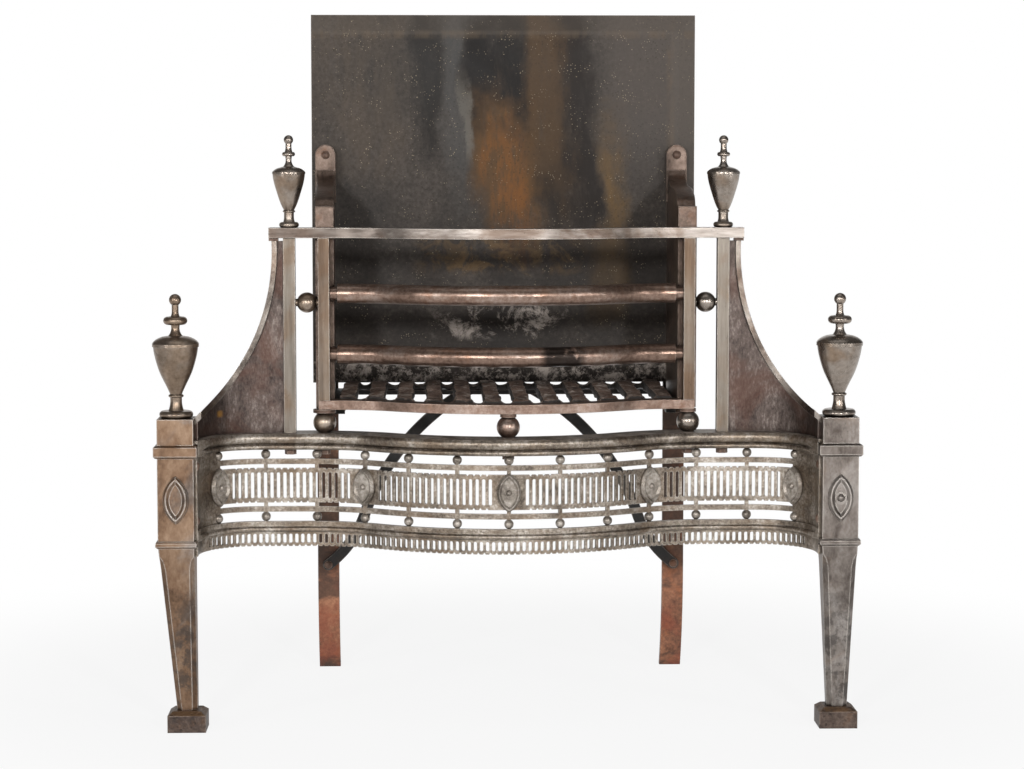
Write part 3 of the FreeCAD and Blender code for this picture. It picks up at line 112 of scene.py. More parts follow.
class Surface:
    """A procedural material whose patterns follow the object's own coordinates, in metres."""

    def __init__(self, name):
        self.material = bpy.data.materials.new(name)
        self.material.use_nodes = True
        self.tree = self.material.node_tree
        self.shader = self.tree.nodes["Principled BSDF"]
        self.place = self.node("ShaderNodeTexCoord").outputs["Object"]
        split = self.node("ShaderNodeSeparateXYZ")
        self.link(self.place, split.inputs[0])
        self.x, self.y, self.z = split.outputs
        facing = self.node("ShaderNodeNewGeometry")
        tilt = self.node("ShaderNodeSeparateXYZ")
        self.link(facing.outputs["Normal"], tilt.inputs[0])
        self.normal = facing.outputs["Normal"]
        self.faces_up = tilt.outputs[2]

    def node(self, kind, **settings):
        """A new shader node."""
        node = self.tree.nodes.new(kind)
        for key, value in settings.items():
            setattr(node, key, value)
        return node

    def link(self, source, target):
        """Joins an output to an input."""
        self.tree.links.new(source, target)

    def put(self, value, socket):
        """Links a socket, or sets a constant."""
        if isinstance(value, bpy.types.NodeSocket):
            self.link(value, socket)
        else:
            socket.default_value = value

    def stretched(self, stretch):
        """Coordinates scaled along each axis: a scale below 1 draws a pattern out."""
        mapping = self.node("ShaderNodeMapping")
        self.link(self.place, mapping.inputs["Vector"])
        mapping.inputs["Scale"].default_value = stretch
        return mapping.outputs[0]

    def noise(self, scale, stretch=(1, 1, 1), detail=6.0, rough=0.6, warp=0.0):
        """Cloudy noise from 0 to 1, with about scale patches in a metre."""
        noise = self.node("ShaderNodeTexNoise")
        self.link(self.stretched(stretch), noise.inputs["Vector"])
        noise.inputs["Scale"].default_value = scale
        noise.inputs["Detail"].default_value = detail
        noise.inputs["Roughness"].default_value = rough
        noise.inputs["Distortion"].default_value = warp
        return noise.outputs["Fac"]

    def cells(self, scale):
        """Distance from scattered points: small near each one."""
        cells = self.node("ShaderNodeTexVoronoi")
        self.link(self.place, cells.inputs["Vector"])
        cells.inputs["Scale"].default_value = scale
        return cells.outputs["Distance"]

    def band(self, value, low, high):
        """0 below low and 1 above high; the other way round where low is the larger."""
        node = self.node("ShaderNodeMapRange", interpolation_type="SMOOTHSTEP")
        self.put(value, node.inputs["Value"])
        flip = low > high
        node.inputs["From Min"].default_value = min(low, high)
        node.inputs["From Max"].default_value = max(low, high)
        node.inputs["To Min"].default_value = 1.0 if flip else 0.0
        node.inputs["To Max"].default_value = 0.0 if flip else 1.0
        return node.outputs[0]

    def window(self, value, start, full, fade, end):
        """1 from full to fade and 0 outside start to end."""
        return self.both(self.band(value, start, full), self.band(value, end, fade))

    def span(self, value, low, high, to_low, to_high):
        """The value's range low to high, stretched over to_low to to_high."""
        node = self.node("ShaderNodeMapRange")
        self.put(value, node.inputs["Value"])
        for key, number in (("From Min", low), ("From Max", high), ("To Min", to_low), ("To Max", to_high)):
            node.inputs[key].default_value = number
        return node.outputs[0]

    def calc(self, operation, first, second):
        """One step of arithmetic on values or sockets."""
        node = self.node("ShaderNodeMath", operation=operation)
        self.put(first, node.inputs[0])
        self.put(second, node.inputs[1])
        return node.outputs[0]

    def blend(self, first, second, share):
        """A weighted sum of two values, with that share of the first."""
        return self.calc("ADD", self.calc("MULTIPLY", first, share), self.calc("MULTIPLY", second, 1 - share))

    def both(self, *masks):
        """The product of the masks: where all of them apply."""
        result = masks[0]
        for mask in masks[1:]:
            result = self.calc("MULTIPLY", result, mask)
        return result

    def mix(self, amount, colour, tint):
        """The colour, and the tint where the amount is 1."""
        node = self.node("ShaderNodeMix", data_type="RGBA")
        self.put(amount, node.inputs["Factor"])
        self.put(colour, node.inputs["A"])
        self.put(tint, node.inputs["B"])
        return node.outputs["Result"]

    def over(self, colour, mask, share, tint):
        """The colour with that share of a tint laid over it where the mask is 1."""
        return self.mix(self.calc("MULTIPLY", mask, share), colour, tint)

    def ramp(self, value, stops):
        """Colours along a value, from stops of a position and a colour."""
        node = self.node("ShaderNodeValToRGB")
        self.put(value, node.inputs["Fac"])
        elements = node.color_ramp.elements
        while len(elements) < len(stops):
            elements.new(0.5)
        for element, (position, colour) in zip(elements, stops):
            element.position = position
            element.color = colour
        return node.outputs["Color"]

    def rounded(self, radius):
        """The normal with sharp edges rounded over that radius."""
        bevel = self.node("ShaderNodeBevel", samples=SHADE_SAMPLES)
        bevel.inputs["Radius"].default_value = radius
        return bevel.outputs[0]

    def edges(self, radius):
        """1 along sharp outer edges, where handling has worn the surface."""
        product = self.node("ShaderNodeVectorMath", operation="DOT_PRODUCT")
        self.link(self.rounded(radius), product.inputs[0])
        self.link(self.normal, product.inputs[1])
        corner = self.band(product.outputs["Value"], 0.996, 0.93)
        return self.both(corner, self.open_to_air(radius))

    def openness(self, reach):
        """How open a point is to the air within that reach: low in inner corners."""
        node = self.node("ShaderNodeAmbientOcclusion", samples=SHADE_SAMPLES)
        node.inputs["Distance"].default_value = reach
        return node.outputs["AO"]

    def open_to_air(self, radius):
        """1 on outer corners and faces, 0 in inner corners."""
        return self.band(self.openness(3 * radius), 0.55, 0.8)

    def shaded_corners(self, reach):
        """1 in inner corners, where dirt gathers and where shade is painted."""
        return self.band(self.openness(reach), 0.8, 0.35)

    def finish(self, colour, rough, height, metallic, bump, depth, rounding=0.0):
        """Joins it all to the shader; rounding softens the shading of sharp edges over that radius."""
        self.put(colour, self.shader.inputs["Base Color"])
        self.put(rough, self.shader.inputs["Roughness"])
        self.put(metallic, self.shader.inputs["Metallic"])
        relief = self.node("ShaderNodeBump")
        relief.inputs["Strength"].default_value = bump
        relief.inputs["Distance"].default_value = depth
        self.link(height, relief.inputs["Height"])
        if rounding:
            self.link(self.rounded(rounding), relief.inputs["Normal"])
        self.link(relief.outputs[0], self.shader.inputs["Normal"])
        return self.material


# Materials

SOOT = srgb(34, 27, 23)


def aged_steel(name, steel, brown, brown_from, rough, wear, lean=0.0, grain=(1, 1, 1), patch=11,
               speck_share=0.45, shine=srgb(200, 193, 185), bare_below=None):
    """Old polished steel: grey and brown patches, fine scratches along the grain, pits, bright worn edges.

    A lean above zero browns the left side of the grate more than the right. Dark bare steel shows below
    bare_below, in metres.
    """
    look = Surface(name)
    fine = look.noise(190, stretch=grain, detail=6, rough=0.72)
    cloud = look.noise(22, stretch=grain, detail=7, rough=0.6, warp=0.5)
    tone = look.blend(fine, cloud, 0.35)
    stops = (0.36, 0.5, 0.64)
    grey = look.ramp(tone, tuple(zip(stops, steel)))
    tan = look.ramp(tone, tuple(zip(stops, brown)))
    spread = look.noise(patch, detail=8, rough=0.62, warp=0.9)
    if lean:
        spread = look.calc("SUBTRACT", spread, look.calc("MULTIPLY", look.x, lean))
    bloom = look.band(spread, brown_from - 0.1, brown_from + 0.12)
    colour = look.over(grey, bloom, 0.85, tan)
    if bare_below:
        low = look.band(look.z, bare_below, bare_below / 2)
        bare = look.both(low, look.band(look.noise(42, detail=8, rough=0.7), 0.46, 0.58))
        colour = look.over(colour, bare, 0.7, srgb(62, 58, 56))
    pits = look.both(look.band(look.cells(300), 0.28, 0.1), look.band(look.noise(30, detail=5), 0.5, 0.62))
    colour = look.over(colour, pits, speck_share, SOOT)
    # darker in inner corners: painted shade, with some dirt
    corner_dirt_and_shade = look.both(look.shaded_corners(0.008), look.band(look.noise(60), 0.25, 0.6))
    colour = look.over(colour, corner_dirt_and_shade, 0.8, srgb(36, 26, 20))
    bright = look.both(look.edges(0.0018), look.band(look.noise(40, detail=3), 0.3, 0.5))
    colour = look.over(colour, bright, wear, shine)
    roughness = look.span(look.calc("ADD", cloud, look.calc("MULTIPLY", bloom, 0.2)), 0.3, 0.95, *rough)
    metallic = look.span(bloom, 0, 1, 0.95, 0.8)
    height = look.calc("SUBTRACT", fine, look.calc("MULTIPLY", pits, 0.9))
    return look.finish(colour, roughness, height, metallic=metallic, bump=0.22, depth=0.0005, rounding=0.0008)


def post_steel():
    """Posts and legs: browner to the left, dark where the legs are bare near the feet."""
    return aged_steel("post_steel", (srgb(78, 70, 65), srgb(120, 112, 106), srgb(152, 146, 141)),
                      (srgb(76, 54, 38), srgb(121, 92, 68), srgb(150, 122, 96)), brown_from=0.49, lean=0.25,
                      rough=(0.38, 0.52), grain=(1, 1, 0.6), wear=0.95, bare_below=0.2)


def finial_steel():
    """Urns and balls, smoother than the posts."""
    return aged_steel("finial_steel", (srgb(116, 107, 98), srgb(154, 144, 135), srgb(180, 172, 163)),
                      (srgb(100, 82, 65), srgb(134, 114, 95), srgb(160, 142, 123)), brown_from=0.51,
                      rough=(0.25, 0.36), wear=0.3, lean=0.2, patch=14, speck_share=0.25,
                      shine=srgb(190, 182, 172))


def fret_steel():
    """Grey pitted steel with an olive-tan patina and soot, dusty with ash where it faces up."""
    look = Surface("fret_steel")
    cloud = look.noise(26, detail=7, rough=0.65, warp=0.5)
    fine = look.noise(280, detail=6, rough=0.75)
    tone = look.blend(cloud, fine, 0.5)
    greys = ((0.38, srgb(78, 70, 63)), (0.5, srgb(137, 126, 114)), (0.62, srgb(196, 188, 178)))
    colour = look.ramp(tone, greys)
    tan = look.band(look.noise(22, detail=8, rough=0.7, warp=0.8), 0.46, 0.62)
    colour = look.over(colour, tan, 0.45, srgb(122, 102, 82))
    pits = look.both(look.band(look.cells(300), 0.36, 0.12), look.band(look.noise(44, detail=5), 0.42, 0.58))
    colour = look.over(colour, pits, 0.55, SOOT)
    # darker in inner corners: painted shade, with some dirt
    corner_dirt_and_shade = look.both(look.shaded_corners(0.007), look.band(look.noise(70), 0.25, 0.55))
    colour = look.over(colour, corner_dirt_and_shade, 0.55, srgb(40, 32, 26))
    bright = look.both(look.edges(0.0014), look.band(look.noise(90), 0.34, 0.52))
    colour = look.over(colour, bright, 0.55, srgb(214, 208, 198))
    dust = look.noise(70, detail=8, rough=0.75)
    ash = look.both(look.band(look.faces_up, 0.75, 0.95), look.band(dust, 0.46, 0.6))
    colour = look.over(colour, ash, 0.7, srgb(182, 170, 160))
    roughness = look.span(look.calc("ADD", cloud, look.calc("MULTIPLY", ash, 0.5)), 0.3, 0.9, 0.36, 0.52)
    height = look.calc("SUBTRACT", fine, look.calc("MULTIPLY", pits, 0.8))
    metallic = look.span(ash, 0, 1, 0.92, 0.2)
    return look.finish(colour, roughness, height, metallic=metallic, bump=0.3, depth=0.0006, rounding=0.0007)


def wing_steel():
    """Dark sheet with a fine upright hammered grain, red-brown mottling and a spot of ochre."""
    look = Surface("wing_steel")
    streaks = look.noise(36, stretch=(1, 1, 0.5), detail=8, rough=0.66, warp=0.5)
    grain = look.noise(420, stretch=(1, 1, 0.5), detail=4, rough=0.7)
    tone = look.blend(streaks, grain, 0.6)
    greys = ((0.38, srgb(50, 43, 40)), (0.52, srgb(92, 81, 76)), (0.66, srgb(146, 136, 129)))
    colour = look.ramp(tone, greys)
    bloom = look.band(look.noise(13, detail=7, rough=0.62, warp=0.8), 0.44, 0.62)
    colour = look.over(colour, bloom, 0.55, srgb(88, 62, 52))
    # darker in inner corners, as beside the standards: painted shade, with some dirt
    corner_dirt_and_shade = look.both(look.shaded_corners(0.02), look.band(look.noise(40), 0.2, 0.5))
    colour = look.over(colour, corner_dirt_and_shade, 0.85, srgb(30, 22, 19))
    bright = look.both(look.edges(0.0018), look.band(look.noise(40), 0.3, 0.5))
    colour = look.over(colour, bright, 0.4, srgb(176, 166, 158))
    spot = look.both(look.window(look.x, *WING_SPOT_X), look.window(look.z, *WING_SPOT_Z),
                     look.band(look.noise(160, detail=5), 0.3, 0.5))
    colour = look.mix(spot, colour, srgb(150, 110, 56))
    roughness = look.span(streaks, 0.3, 0.7, 0.38, 0.54)
    height = look.blend(streaks, grain, 0.3)
    return look.finish(colour, roughness, height, metallic=0.85, bump=0.5, depth=0.0008, rounding=0.0008)


def pearl_steel_painted_light():
    """Pearls and oval paterae of the fret: brighter than the sheet they are set on, painted light for their
    bright, light-catching faces.
    """
    look = Surface("pearl_steel_painted_light")
    fine = look.noise(260, detail=6, rough=0.72)
    cloud = look.noise(40, detail=6, rough=0.62)
    tone = look.blend(fine, cloud, 0.5)
    greys = ((0.37, srgb(94, 86, 78)), (0.5, srgb(150, 141, 131)), (0.62, srgb(194, 186, 177)))
    colour = look.ramp(tone, greys)
    # darker in inner corners: painted shade, with some dirt
    corner_dirt_and_shade = look.both(look.shaded_corners(0.004), look.band(look.noise(60), 0.15, 0.45))
    colour = look.over(colour, corner_dirt_and_shade, 0.85, srgb(44, 35, 28))
    pits = look.both(look.band(look.cells(300), 0.3, 0.1), look.band(look.noise(30, detail=5), 0.46, 0.6))
    colour = look.over(colour, pits, 0.5, SOOT)
    roughness = look.span(cloud, 0.3, 0.7, 0.3, 0.44)
    return look.finish(colour, roughness, fine, metallic=0.6, bump=0.3, depth=0.0005, rounding=0.0006)


def bead_steel():
    """Edge beads of the wings, rubbed bright."""
    return aged_steel("bead_steel", (srgb(88, 80, 74), srgb(132, 123, 115), srgb(168, 160, 153)),
                      (srgb(76, 58, 47), srgb(110, 90, 76), srgb(144, 126, 110)), brown_from=0.54,
                      rough=(0.26, 0.36), wear=0.15)


def standard_steel():
    """Standards, brushed along their length."""
    return aged_steel("standard_steel", (srgb(92, 85, 77), srgb(124, 116, 107), srgb(150, 142, 133)),
                      (srgb(86, 68, 53), srgb(116, 97, 79), srgb(140, 122, 104)), brown_from=0.55,
                      rough=(0.4, 0.52), grain=(1, 1, 0.08), wear=0.7)


def upright_steel():
    """The basket's uprights: the standards' steel, browned by the fire."""
    return aged_steel("upright_steel", (srgb(76, 67, 59), srgb(110, 98, 87), srgb(138, 126, 113)),
                      (srgb(72, 55, 42), srgb(103, 82, 65), srgb(128, 108, 89)), brown_from=0.46,
                      rough=(0.4, 0.52), grain=(1, 1, 0.08), wear=0.6)


def rail_steel_painted_reflections():
    """The basket's top rail: long bright patches with dark between, partly rubbed wear and partly painted
    reflections.
    """
    return aged_steel("rail_steel_painted_reflections", (srgb(70, 62, 57), srgb(122, 113, 106), srgb(178, 170, 163)),
                      (srgb(58, 45, 37), srgb(98, 80, 68), srgb(136, 118, 104)), brown_from=0.52,
                      rough=(0.32, 0.46), grain=(0.1, 0.6, 1), wear=0.7)


def burnt_iron(name, pale, mid, dark, orange, rough, soot_from=0.6, stretch=(0.25, 1, 1)):
    """Iron reddened by fire, with scale and soot: the surface, its colour, roughness and height."""
    look = Surface(name)
    cloud = look.noise(24, stretch=stretch, detail=8, rough=0.66, warp=0.7)
    fine = look.noise(190, detail=6, rough=0.72)
    tone = look.blend(cloud, fine, 0.55)
    colour = look.ramp(tone, ((0.36, dark), (0.5, mid), (0.63, pale)))
    warm = look.band(look.noise(40, detail=7, rough=0.7), 0.52, 0.68)
    colour = look.over(colour, warm, 0.5, orange)
    blotch_noise = look.noise(13, stretch=stretch, detail=8, rough=0.75, warp=0.9)
    soot = look.band(blotch_noise, soot_from, soot_from + 0.12)
    colour = look.over(colour, soot, 0.75, SOOT)
    # darker in inner corners: painted shade, with some dirt
    corner_dirt_and_shade = look.both(look.shaded_corners(0.01), look.band(look.noise(50), 0.25, 0.55))
    colour = look.over(colour, corner_dirt_and_shade, 0.7, srgb(38, 28, 23))
    bright = look.both(look.edges(0.002), look.band(look.noise(80), 0.34, 0.55))
    colour = look.over(colour, bright, 0.45, srgb(200, 182, 168))
    roughness = look.span(look.calc("ADD", cloud, look.calc("MULTIPLY", soot, 0.5)), 0.3, 1.0, *rough)
    height = look.blend(cloud, fine, 0.4)
    return look, colour, roughness, height


def bar_iron():
    """Fire bars, bottom bar and middle ball, with a sooty patch on the lower fire bar."""
    look, colour, roughness, height = burnt_iron(
        "bar_iron", srgb(172, 154, 143), srgb(136, 113, 100), srgb(86, 67, 57), srgb(124, 88, 66),
        rough=(0.27, 0.42))
    patch = look.both(look.window(look.x, *BAR_SOOT_X), look.window(look.z, *BAR_SOOT_Z),
                      look.band(look.noise(40, detail=5), 0.34, 0.46))
    colour = look.over(colour, patch, 0.92, srgb(28, 24, 22))
    return look.finish(colour, roughness, height, metallic=0.85, bump=0.3, depth=0.0008, rounding=0.001)


def cheek_iron():
    """Cast cheeks, soft at the edges."""
    look, colour, roughness, height = burnt_iron(
        "cheek_iron", srgb(136, 118, 107), srgb(102, 86, 76), srgb(60, 48, 41), srgb(104, 72, 52),
        stretch=(1, 0.5, 1), rough=(0.36, 0.52))
    return look.finish(colour, roughness, height, metallic=0.7, bump=0.4, depth=0.0012, rounding=0.003)


def plate_iron():
    """Cast back plate: charcoal with upright stains, rust in the middle, ash between and below the bars."""
    look = Surface("plate_iron")
    fine = look.noise(190, detail=7, rough=0.75)
    cloud = look.noise(8, detail=7, rough=0.62, warp=0.7)
    ragged = look.noise(30, stretch=(1.5, 1, 0.45), detail=9, rough=0.72, warp=0.4)
    sway = look.noise(9, stretch=(1, 1, 0.5), detail=9, rough=0.62)
    wavy_x = look.calc("ADD", look.x, look.span(sway, 0.25, 0.75, -0.034, 0.034))
    wavy_z = look.calc("ADD", look.z, look.span(look.noise(12, detail=8, rough=0.6), 0.25, 0.75, -0.06, 0.06))

    def stain(left, right, bottom, top, side=0.013, end=0.05):
        """Upright stain with wavering edges, which are soft over these distances at its sides and ends."""
        return look.both(look.window(wavy_x, left - side, left + side, right - side, right + side),
                         look.window(wavy_z, bottom - end, bottom + end, top - end, top + end))

    def border_along(value, line):
        """The worn inner edge of the bevelled border, along a line, and the border beyond it."""
        worn = look.window(value, line - 0.009, line - 0.004, line, line + 0.006)
        return worn, look.band(value, line - 0.004, line)

    tone = look.blend(cloud, fine, 0.5)
    greys = ((0.34, srgb(38, 34, 31)), (0.5, srgb(64, 58, 53)), (0.66, srgb(92, 84, 78)))
    plain = look.ramp(tone, greys)
    pale = look.both(look.band(look.x, *PLATE_PALE_X), look.band(look.z, *PLATE_PALE_Z))
    colour = look.over(plain, pale, 0.6, srgb(90, 82, 76))
    brown = look.both(stain(*PLATE_BROWN, side=0.03), look.band(ragged, 0.3, 0.6))
    colour = look.over(colour, brown, 0.45, srgb(90, 78, 66))
    for *place, share, tint in PLATE_STAINS:
        mask = look.both(stain(*place), look.span(ragged, 0.3, 0.5, 0.5, 1.0))
        colour = look.over(colour, mask, share, srgb(*tint))
    glint = look.both(look.window(wavy_x, *PLATE_GLINT_X), look.window(look.z, *PLATE_GLINT_Z))
    colour = look.over(colour, glint, 0.45, srgb(126, 122, 114))
    streaks = look.noise(34, stretch=(1.6, 1, 0.5), detail=9, rough=0.72)
    orange = look.both(stain(*PLATE_ORANGE), look.band(streaks, 0.42, 0.6))
    colour = look.over(colour, orange, 0.75, srgb(130, 82, 36))
    smudge = look.both(look.window(look.x, *PLATE_SMUDGE_X), look.window(look.z, *PLATE_SMUDGE_Z),
                       look.band(look.noise(34, detail=9, rough=0.72, warp=0.8), 0.46, 0.62))
    colour = look.over(colour, smudge, 0.8, srgb(126, 100, 68))
    blotch_noise = look.noise(12, detail=8, rough=0.7)
    soot = look.both(look.band(look.z, *PLATE_SOOT_Z), look.band(blotch_noise, 0.34, 0.56))
    colour = look.over(colour, soot, 0.6, srgb(38, 33, 30))
    crust = look.band(look.noise(30, detail=9, rough=0.76, warp=0.5), 0.5, 0.63)
    between = look.both(look.window(look.z, *PLATE_ASH_Z), look.window(look.x, *PLATE_ASH_X))
    dust = look.band(look.noise(85, detail=9, rough=0.8, warp=0.3), 0.5, 0.62)
    below = look.both(look.band(look.z, *PLATE_ASH_BELOW_Z), look.calc("MAXIMUM", dust, crust))
    ash = look.calc("MAXIMUM", look.both(crust, between), below)
    colour = look.over(colour, ash, 0.85, srgb(196, 184, 174))
    flecks = look.both(look.band(look.cells(330), 0.24, 0.08), look.band(look.noise(60, detail=4), 0.5, 0.62))
    colour = look.over(colour, flecks, 0.8, srgb(184, 168, 142))
    pits = look.both(look.band(look.cells(240), 0.34, 0.12), look.band(look.noise(22), 0.38, 0.54))
    colour = look.over(colour, pits, 0.35, srgb(34, 28, 24))
    top_edge, top_border = border_along(look.z, PLATE_BORDER_TOP)
    right_edge, right_border = border_along(look.x, PLATE_BORDER_RIGHT)
    # the bevelled border painted lighter: painted light on its slope
    border = look.calc("MAXIMUM", top_border, right_border)
    colour = look.over(colour, border, 0.3, srgb(100, 92, 84))
    worn = look.both(look.calc("MAXIMUM", top_edge, right_edge), look.band(ragged, 0.4, 0.62))
    colour = look.over(colour, worn, 0.35, srgb(104, 88, 70))
    front = look.band(look.y, *PLATE_FRONT_Y)
    colour = look.mix(front, plain, colour)
    edge = look.both(look.edges(0.003), look.band(look.noise(60), 0.3, 0.55))
    colour = look.over(colour, edge, 0.5, srgb(126, 114, 100))
    roughness = look.span(cloud, 0.3, 0.7, 0.45, 0.62)
    height = look.calc("ADD", look.calc("MULTIPLY", fine, 0.6), look.calc("MULTIPLY", ash, 0.6))
    look.shader.inputs["Specular IOR Level"].default_value = 0.2
    return look.finish(colour, roughness, height, metallic=0.0, bump=0.35, depth=0.001, rounding=0.0015)


def grate_iron():
    """Burnt grate: scale, black on the sides of the bars that is soot and painted shade between them, and
    pale ash on top.
    """
    look, colour, roughness, height = burnt_iron(
        "grate_iron", srgb(140, 120, 108), srgb(100, 80, 69), srgb(52, 41, 35), srgb(112, 74, 52),
        soot_from=0.54, rough=(0.6, 0.85), stretch=(1, 0.4, 1))
    ragged = look.span(look.noise(90), 0.3, 0.7, -0.25, 0.25)
    # black on the sides of the bars: soot, and painted shade between them
    sooty_shaded_sides = look.band(look.calc("ADD", look.faces_up, ragged), 0.8, 0.35)
    colour = look.over(colour, sooty_shaded_sides, 0.9, srgb(24, 20, 18))
    rear = look.both(look.band(look.y, *GRATE_SOOT_Y), look.band(look.noise(30, detail=6), 0.35, 0.55))
    colour = look.over(colour, rear, 0.7, srgb(30, 26, 24))
    dust = look.noise(60, detail=9, rough=0.78)
    ash = look.both(look.band(look.faces_up, 0.35, 0.85), look.band(dust, 0.5, 0.62))
    colour = look.over(colour, ash, 0.75, srgb(182, 170, 160))
    return look.finish(colour, roughness, height, metallic=0.1, bump=0.6, depth=0.002)


def leg_iron():
    """Rear legs: darker above, orange with red patches below."""
    look, colour, roughness, height = burnt_iron(
        "leg_iron", srgb(186, 132, 100), srgb(146, 98, 73), srgb(84, 57, 45), srgb(176, 104, 62),
        soot_from=0.58, rough=(0.45, 0.7), stretch=(1, 1, 0.4))
    rise = look.calc("ADD", look.z, look.span(look.noise(14, detail=6), 0.25, 0.75, -0.07, 0.07))
    blotch_noise = look.noise(30, stretch=(1, 1, 0.4), detail=7)
    # darker above, in blotches
    dark = look.both(look.band(rise, *LEG_DARK_Z), look.band(blotch_noise, 0.3, 0.52))
    colour = look.over(colour, dark, 0.8, srgb(52, 42, 36))
    bands = look.noise(26, stretch=(0.35, 0.35, 1), detail=7, rough=0.62)
    colour = look.over(colour, look.band(bands, 0.5, 0.6), 0.75, srgb(62, 48, 40))
    red = look.both(look.band(rise, *LEG_RED_Z), look.band(look.noise(24, detail=6), 0.42, 0.6))
    colour = look.over(colour, red, 0.5, srgb(142, 68, 50))
    return look.finish(colour, roughness, height, metallic=0.3, bump=0.5, depth=0.0012, rounding=0.0008)


def brace_iron():
    """Braces and bearers, black."""
    look, colour, roughness, height = burnt_iron(
        "brace_iron", srgb(46, 41, 38), srgb(27, 24, 22), srgb(14, 12, 11), srgb(54, 38, 30),
        rough=(0.45, 0.7))
    return look.finish(colour, roughness, height, metallic=0.2, bump=0.35, depth=0.001, rounding=0.001)


def foot_iron():
    """Block feet, pitted, with rust on top."""
    look, colour, roughness, height = burnt_iron(
        "foot_iron", srgb(112, 96, 85), srgb(76, 61, 53), srgb(40, 31, 27), srgb(96, 66, 42),
        soot_from=0.54, rough=(0.45, 0.7), stretch=(1, 1, 1))
    pits = look.band(look.cells(170), 0.34, 0.12)
    height = look.calc("SUBTRACT", height, look.calc("MULTIPLY", pits, 0.8))
    colour = look.over(colour, pits, 0.5, srgb(40, 31, 26))
    rusty = look.both(look.band(look.faces_up, 0.3, 0.7), look.band(look.noise(50, detail=6), 0.36, 0.56))
    colour = look.over(colour, rusty, 0.6, srgb(116, 86, 56))
    return look.finish(colour, roughness, height, metallic=0.4, bump=0.6, depth=0.0014, rounding=0.0018)


def fastener_iron():
    """Rivets, nuts, screws, pads and washers."""
    look, colour, roughness, height = burnt_iron(
        "fastener_iron", srgb(132, 108, 94), srgb(98, 76, 64), srgb(58, 44, 38), srgb(128, 82, 54),
        rough=(0.45, 0.7), stretch=(1, 1, 1))
    return look.finish(colour, roughness, height, metallic=0.4, bump=0.4, depth=0.0008, rounding=0.0006)


def dress_nodes():
    """Gives every CAD node the finish of its slot, or one of its own."""
    by_slot = {
        "post_steel": post_steel(), "finial_steel": finial_steel(), "fret_steel": fret_steel(),
        "wing_steel": wing_steel(), "standard_steel": standard_steel(), "bar_iron": bar_iron(),
        "cheek_iron": cheek_iron(), "plate_iron": plate_iron(), "grate_iron": grate_iron(),
        "leg_iron": leg_iron(), "brace_iron": brace_iron(), "foot_iron": foot_iron(),
        "fastener_iron": fastener_iron(),
    }
    by_prefix = {
        "basket_top_rail": rail_steel_painted_reflections(), "wing_bead_": bead_steel(), "basket_upright_": upright_steel(),
        "fret_pearls": pearl_steel_painted_light(),
    }
    by_prefix["fret_oval_"] = by_prefix["fret_pearls"]
    for part in frame["record"]["subparts"]:
        name = part["node"]
        finish = by_slot[part["material_slot"]]
        for prefix, own in by_prefix.items():
            if name.startswith(prefix):
                finish = own
        materials = NODES[name].data.materials
        materials.clear()
        materials.append(finish)


def burn_grate():
    """Years of fire have eaten the loose grate's bars: uneven, rounded edges."""
    grate = NODES["bottom_grate"]
    remesh = grate.modifiers.new("scale", "REMESH")
    remesh.mode = "VOXEL"
    remesh.voxel_size = SCALE_SIZE
    lumps = bpy.data.textures.new("grate_lumps", "CLOUDS")
    lumps.noise_scale = LUMP_SIZE
    lumps.noise_depth = 3
    displace = grate.modifiers.new("burnt", "DISPLACE")
    displace.texture = lumps
    displace.texture_coords = "LOCAL"
    displace.strength = LUMP_DEPTH
    displace.mid_level = LUMP_MIDDLE
    smooth = grate.modifiers.new("soften", "SMOOTH")
    smooth.iterations = 2


# Studio

def add_camera():
    """The photo's camera."""
    data = bpy.data.cameras.new("photo_camera")
    data.lens = CAMERA_LENS
    data.sensor_width = CAMERA_SENSOR
    data.sensor_fit = "HORIZONTAL"
    data.clip_end = CAMERA_REACH
    camera = bpy.data.objects.new("photo_camera", data)
    camera.location = CAMERA_PLACE
    camera.rotation_euler = (math.radians(90 - CAMERA_PITCH), 0, math.radians(-CAMERA_TURN))
    bpy.context.scene.collection.objects.link(camera)
    bpy.context.scene.camera = camera


def add_softbox(name, place, target, size, energy):
    """An area lamp at a place, turned towards its target."""
    data = bpy.data.lights.new(name, "AREA")
    data.shape = "RECTANGLE"
    data.size, data.size_y = size
    data.energy = energy
    lamp = bpy.data.objects.new(name, data)
    lamp.location = place
    aim = [there - here for there, here in zip(target, place)]
    flat = math.hypot(aim[0], aim[1])
    lamp.rotation_euler = (math.atan2(flat, -aim[2]), 0, math.atan2(aim[1], aim[0]) - math.pi / 2)
    bpy.context.scene.collection.objects.link(lamp)


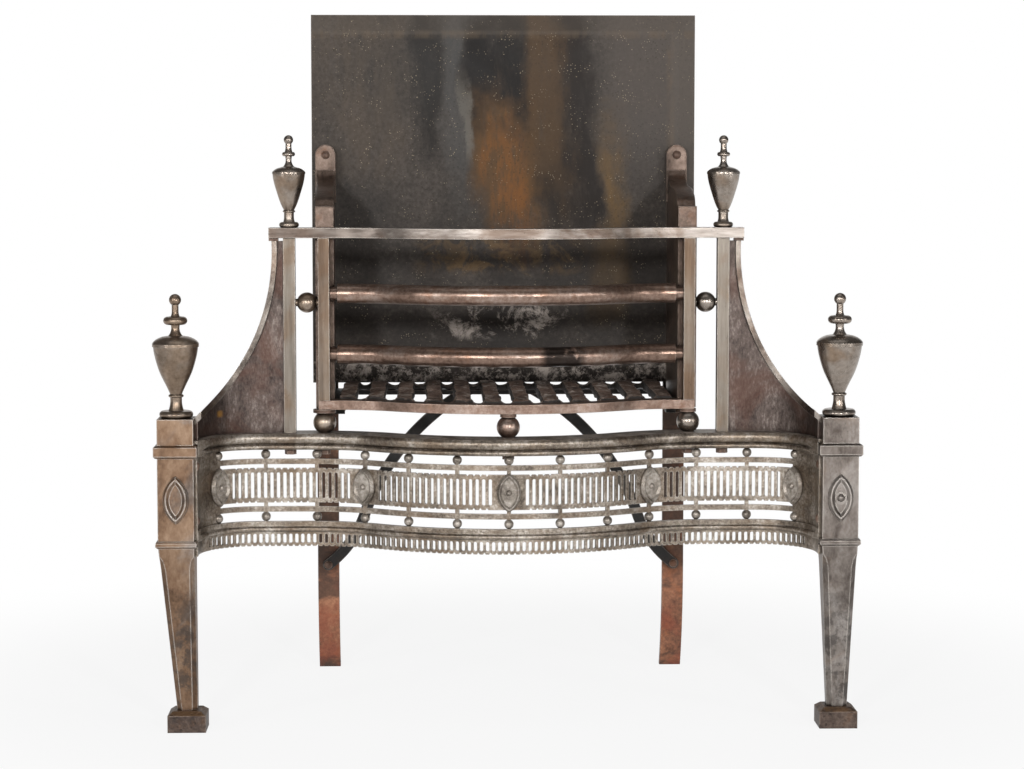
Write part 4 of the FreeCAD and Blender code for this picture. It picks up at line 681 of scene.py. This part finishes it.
def add_floor():
    """A white floor that takes the object's shadow, and fades to pure white away from it."""
    mesh = bpy.data.meshes.new("floor")
    corners = [(x * FLOOR_HALF, y * FLOOR_HALF, 0) for x, y in ((-1, -1), (1, -1), (1, 1), (-1, 1))]
    mesh.from_pydata(corners, [], [(0, 1, 2, 3)])
    floor = bpy.data.objects.new("floor", mesh)
    bpy.context.scene.collection.objects.link(floor)
    material = bpy.data.materials.new("floor_white")
    material.use_nodes = True
    tree = material.node_tree
    shader = tree.nodes["Principled BSDF"]
    shader.inputs["Base Color"].default_value = FLOOR_COLOUR
    shader.inputs["Roughness"].default_value = 0.9
    shader.inputs["Specular IOR Level"].default_value = 0.1
    glow = tree.nodes.new("ShaderNodeEmission")
    path = tree.nodes.new("ShaderNodeLightPath")
    coords = tree.nodes.new("ShaderNodeTexCoord")
    away = tree.nodes.new("ShaderNodeVectorMath")
    away.operation = "LENGTH"
    far = tree.nodes.new("ShaderNodeMapRange")
    far.interpolation_type = "SMOOTHSTEP"
    far.inputs["From Min"].default_value, far.inputs["From Max"].default_value = FLOOR_FADE
    far.inputs["To Min"].default_value = FLOOR_NEAR_WHITE
    share = tree.nodes.new("ShaderNodeMath")
    share.operation = "MULTIPLY"
    blend = tree.nodes.new("ShaderNodeMixShader")
    tree.links.new(coords.outputs["Object"], away.inputs[0])
    tree.links.new(away.outputs["Value"], far.inputs["Value"])
    tree.links.new(far.outputs[0], share.inputs[0])
    seen = path.outputs["Is Camera Ray"]
    for ray in ("Is Glossy Ray", "Is Transmission Ray"):
        either = tree.nodes.new("ShaderNodeMath")
        either.operation = "MAXIMUM"
        tree.links.new(seen, either.inputs[0])
        tree.links.new(path.outputs[ray], either.inputs[1])
        seen = either.outputs[0]
    tree.links.new(seen, share.inputs[1])
    tree.links.new(share.outputs[0], blend.inputs[0])
    tree.links.new(shader.outputs[0], blend.inputs[1])
    tree.links.new(glow.outputs[0], blend.inputs[2])
    tree.links.new(blend.outputs[0], tree.nodes["Material Output"].inputs["Surface"])
    mesh.materials.append(material)


def add_world():
    """A white backdrop behind the object for every ray, in a dim studio.

    Seen straight on by a camera the studio is white from every side.
    """
    world = bpy.data.worlds.new("studio")
    bpy.context.scene.world = world
    world.use_nodes = True
    tree = world.node_tree
    background = tree.nodes["Background"]
    coords = tree.nodes.new("ShaderNodeTexCoord")
    split = tree.nodes.new("ShaderNodeSeparateXYZ")
    tree.links.new(coords.outputs["Generated"], split.inputs[0])
    half = tree.nodes.new("ShaderNodeMapRange")
    half.inputs["From Min"].default_value = -1.0
    tree.links.new(split.outputs[1], half.inputs["Value"])
    walls = tree.nodes.new("ShaderNodeValToRGB")
    tree.links.new(half.outputs[0], walls.inputs["Fac"])
    stops = walls.color_ramp.elements
    while len(stops) < len(WALLS):
        stops.new(0.5)
    for stop, (position, level) in zip(stops, WALLS):
        stop.position = position
        stop.color = (level, level, level, 1)
    path = tree.nodes.new("ShaderNodeLightPath")
    seen = tree.nodes.new("ShaderNodeMath")
    seen.operation = "MAXIMUM"
    tree.links.new(path.outputs["Is Camera Ray"], seen.inputs[0])
    tree.links.new(walls.outputs["Color"], seen.inputs[1])
    tree.links.new(seen.outputs[0], background.inputs["Strength"])
    background.inputs["Color"].default_value = (1, 1, 1, 1)


def add_studio():
    """Camera, floor, backdrop and lamps."""
    add_camera()
    add_floor()
    add_world()
    for softbox in SOFTBOXES:
        add_softbox(*softbox)
    bpy.context.scene.view_settings.view_transform = "Standard"


dress_nodes()
burn_grate()
add_studio()
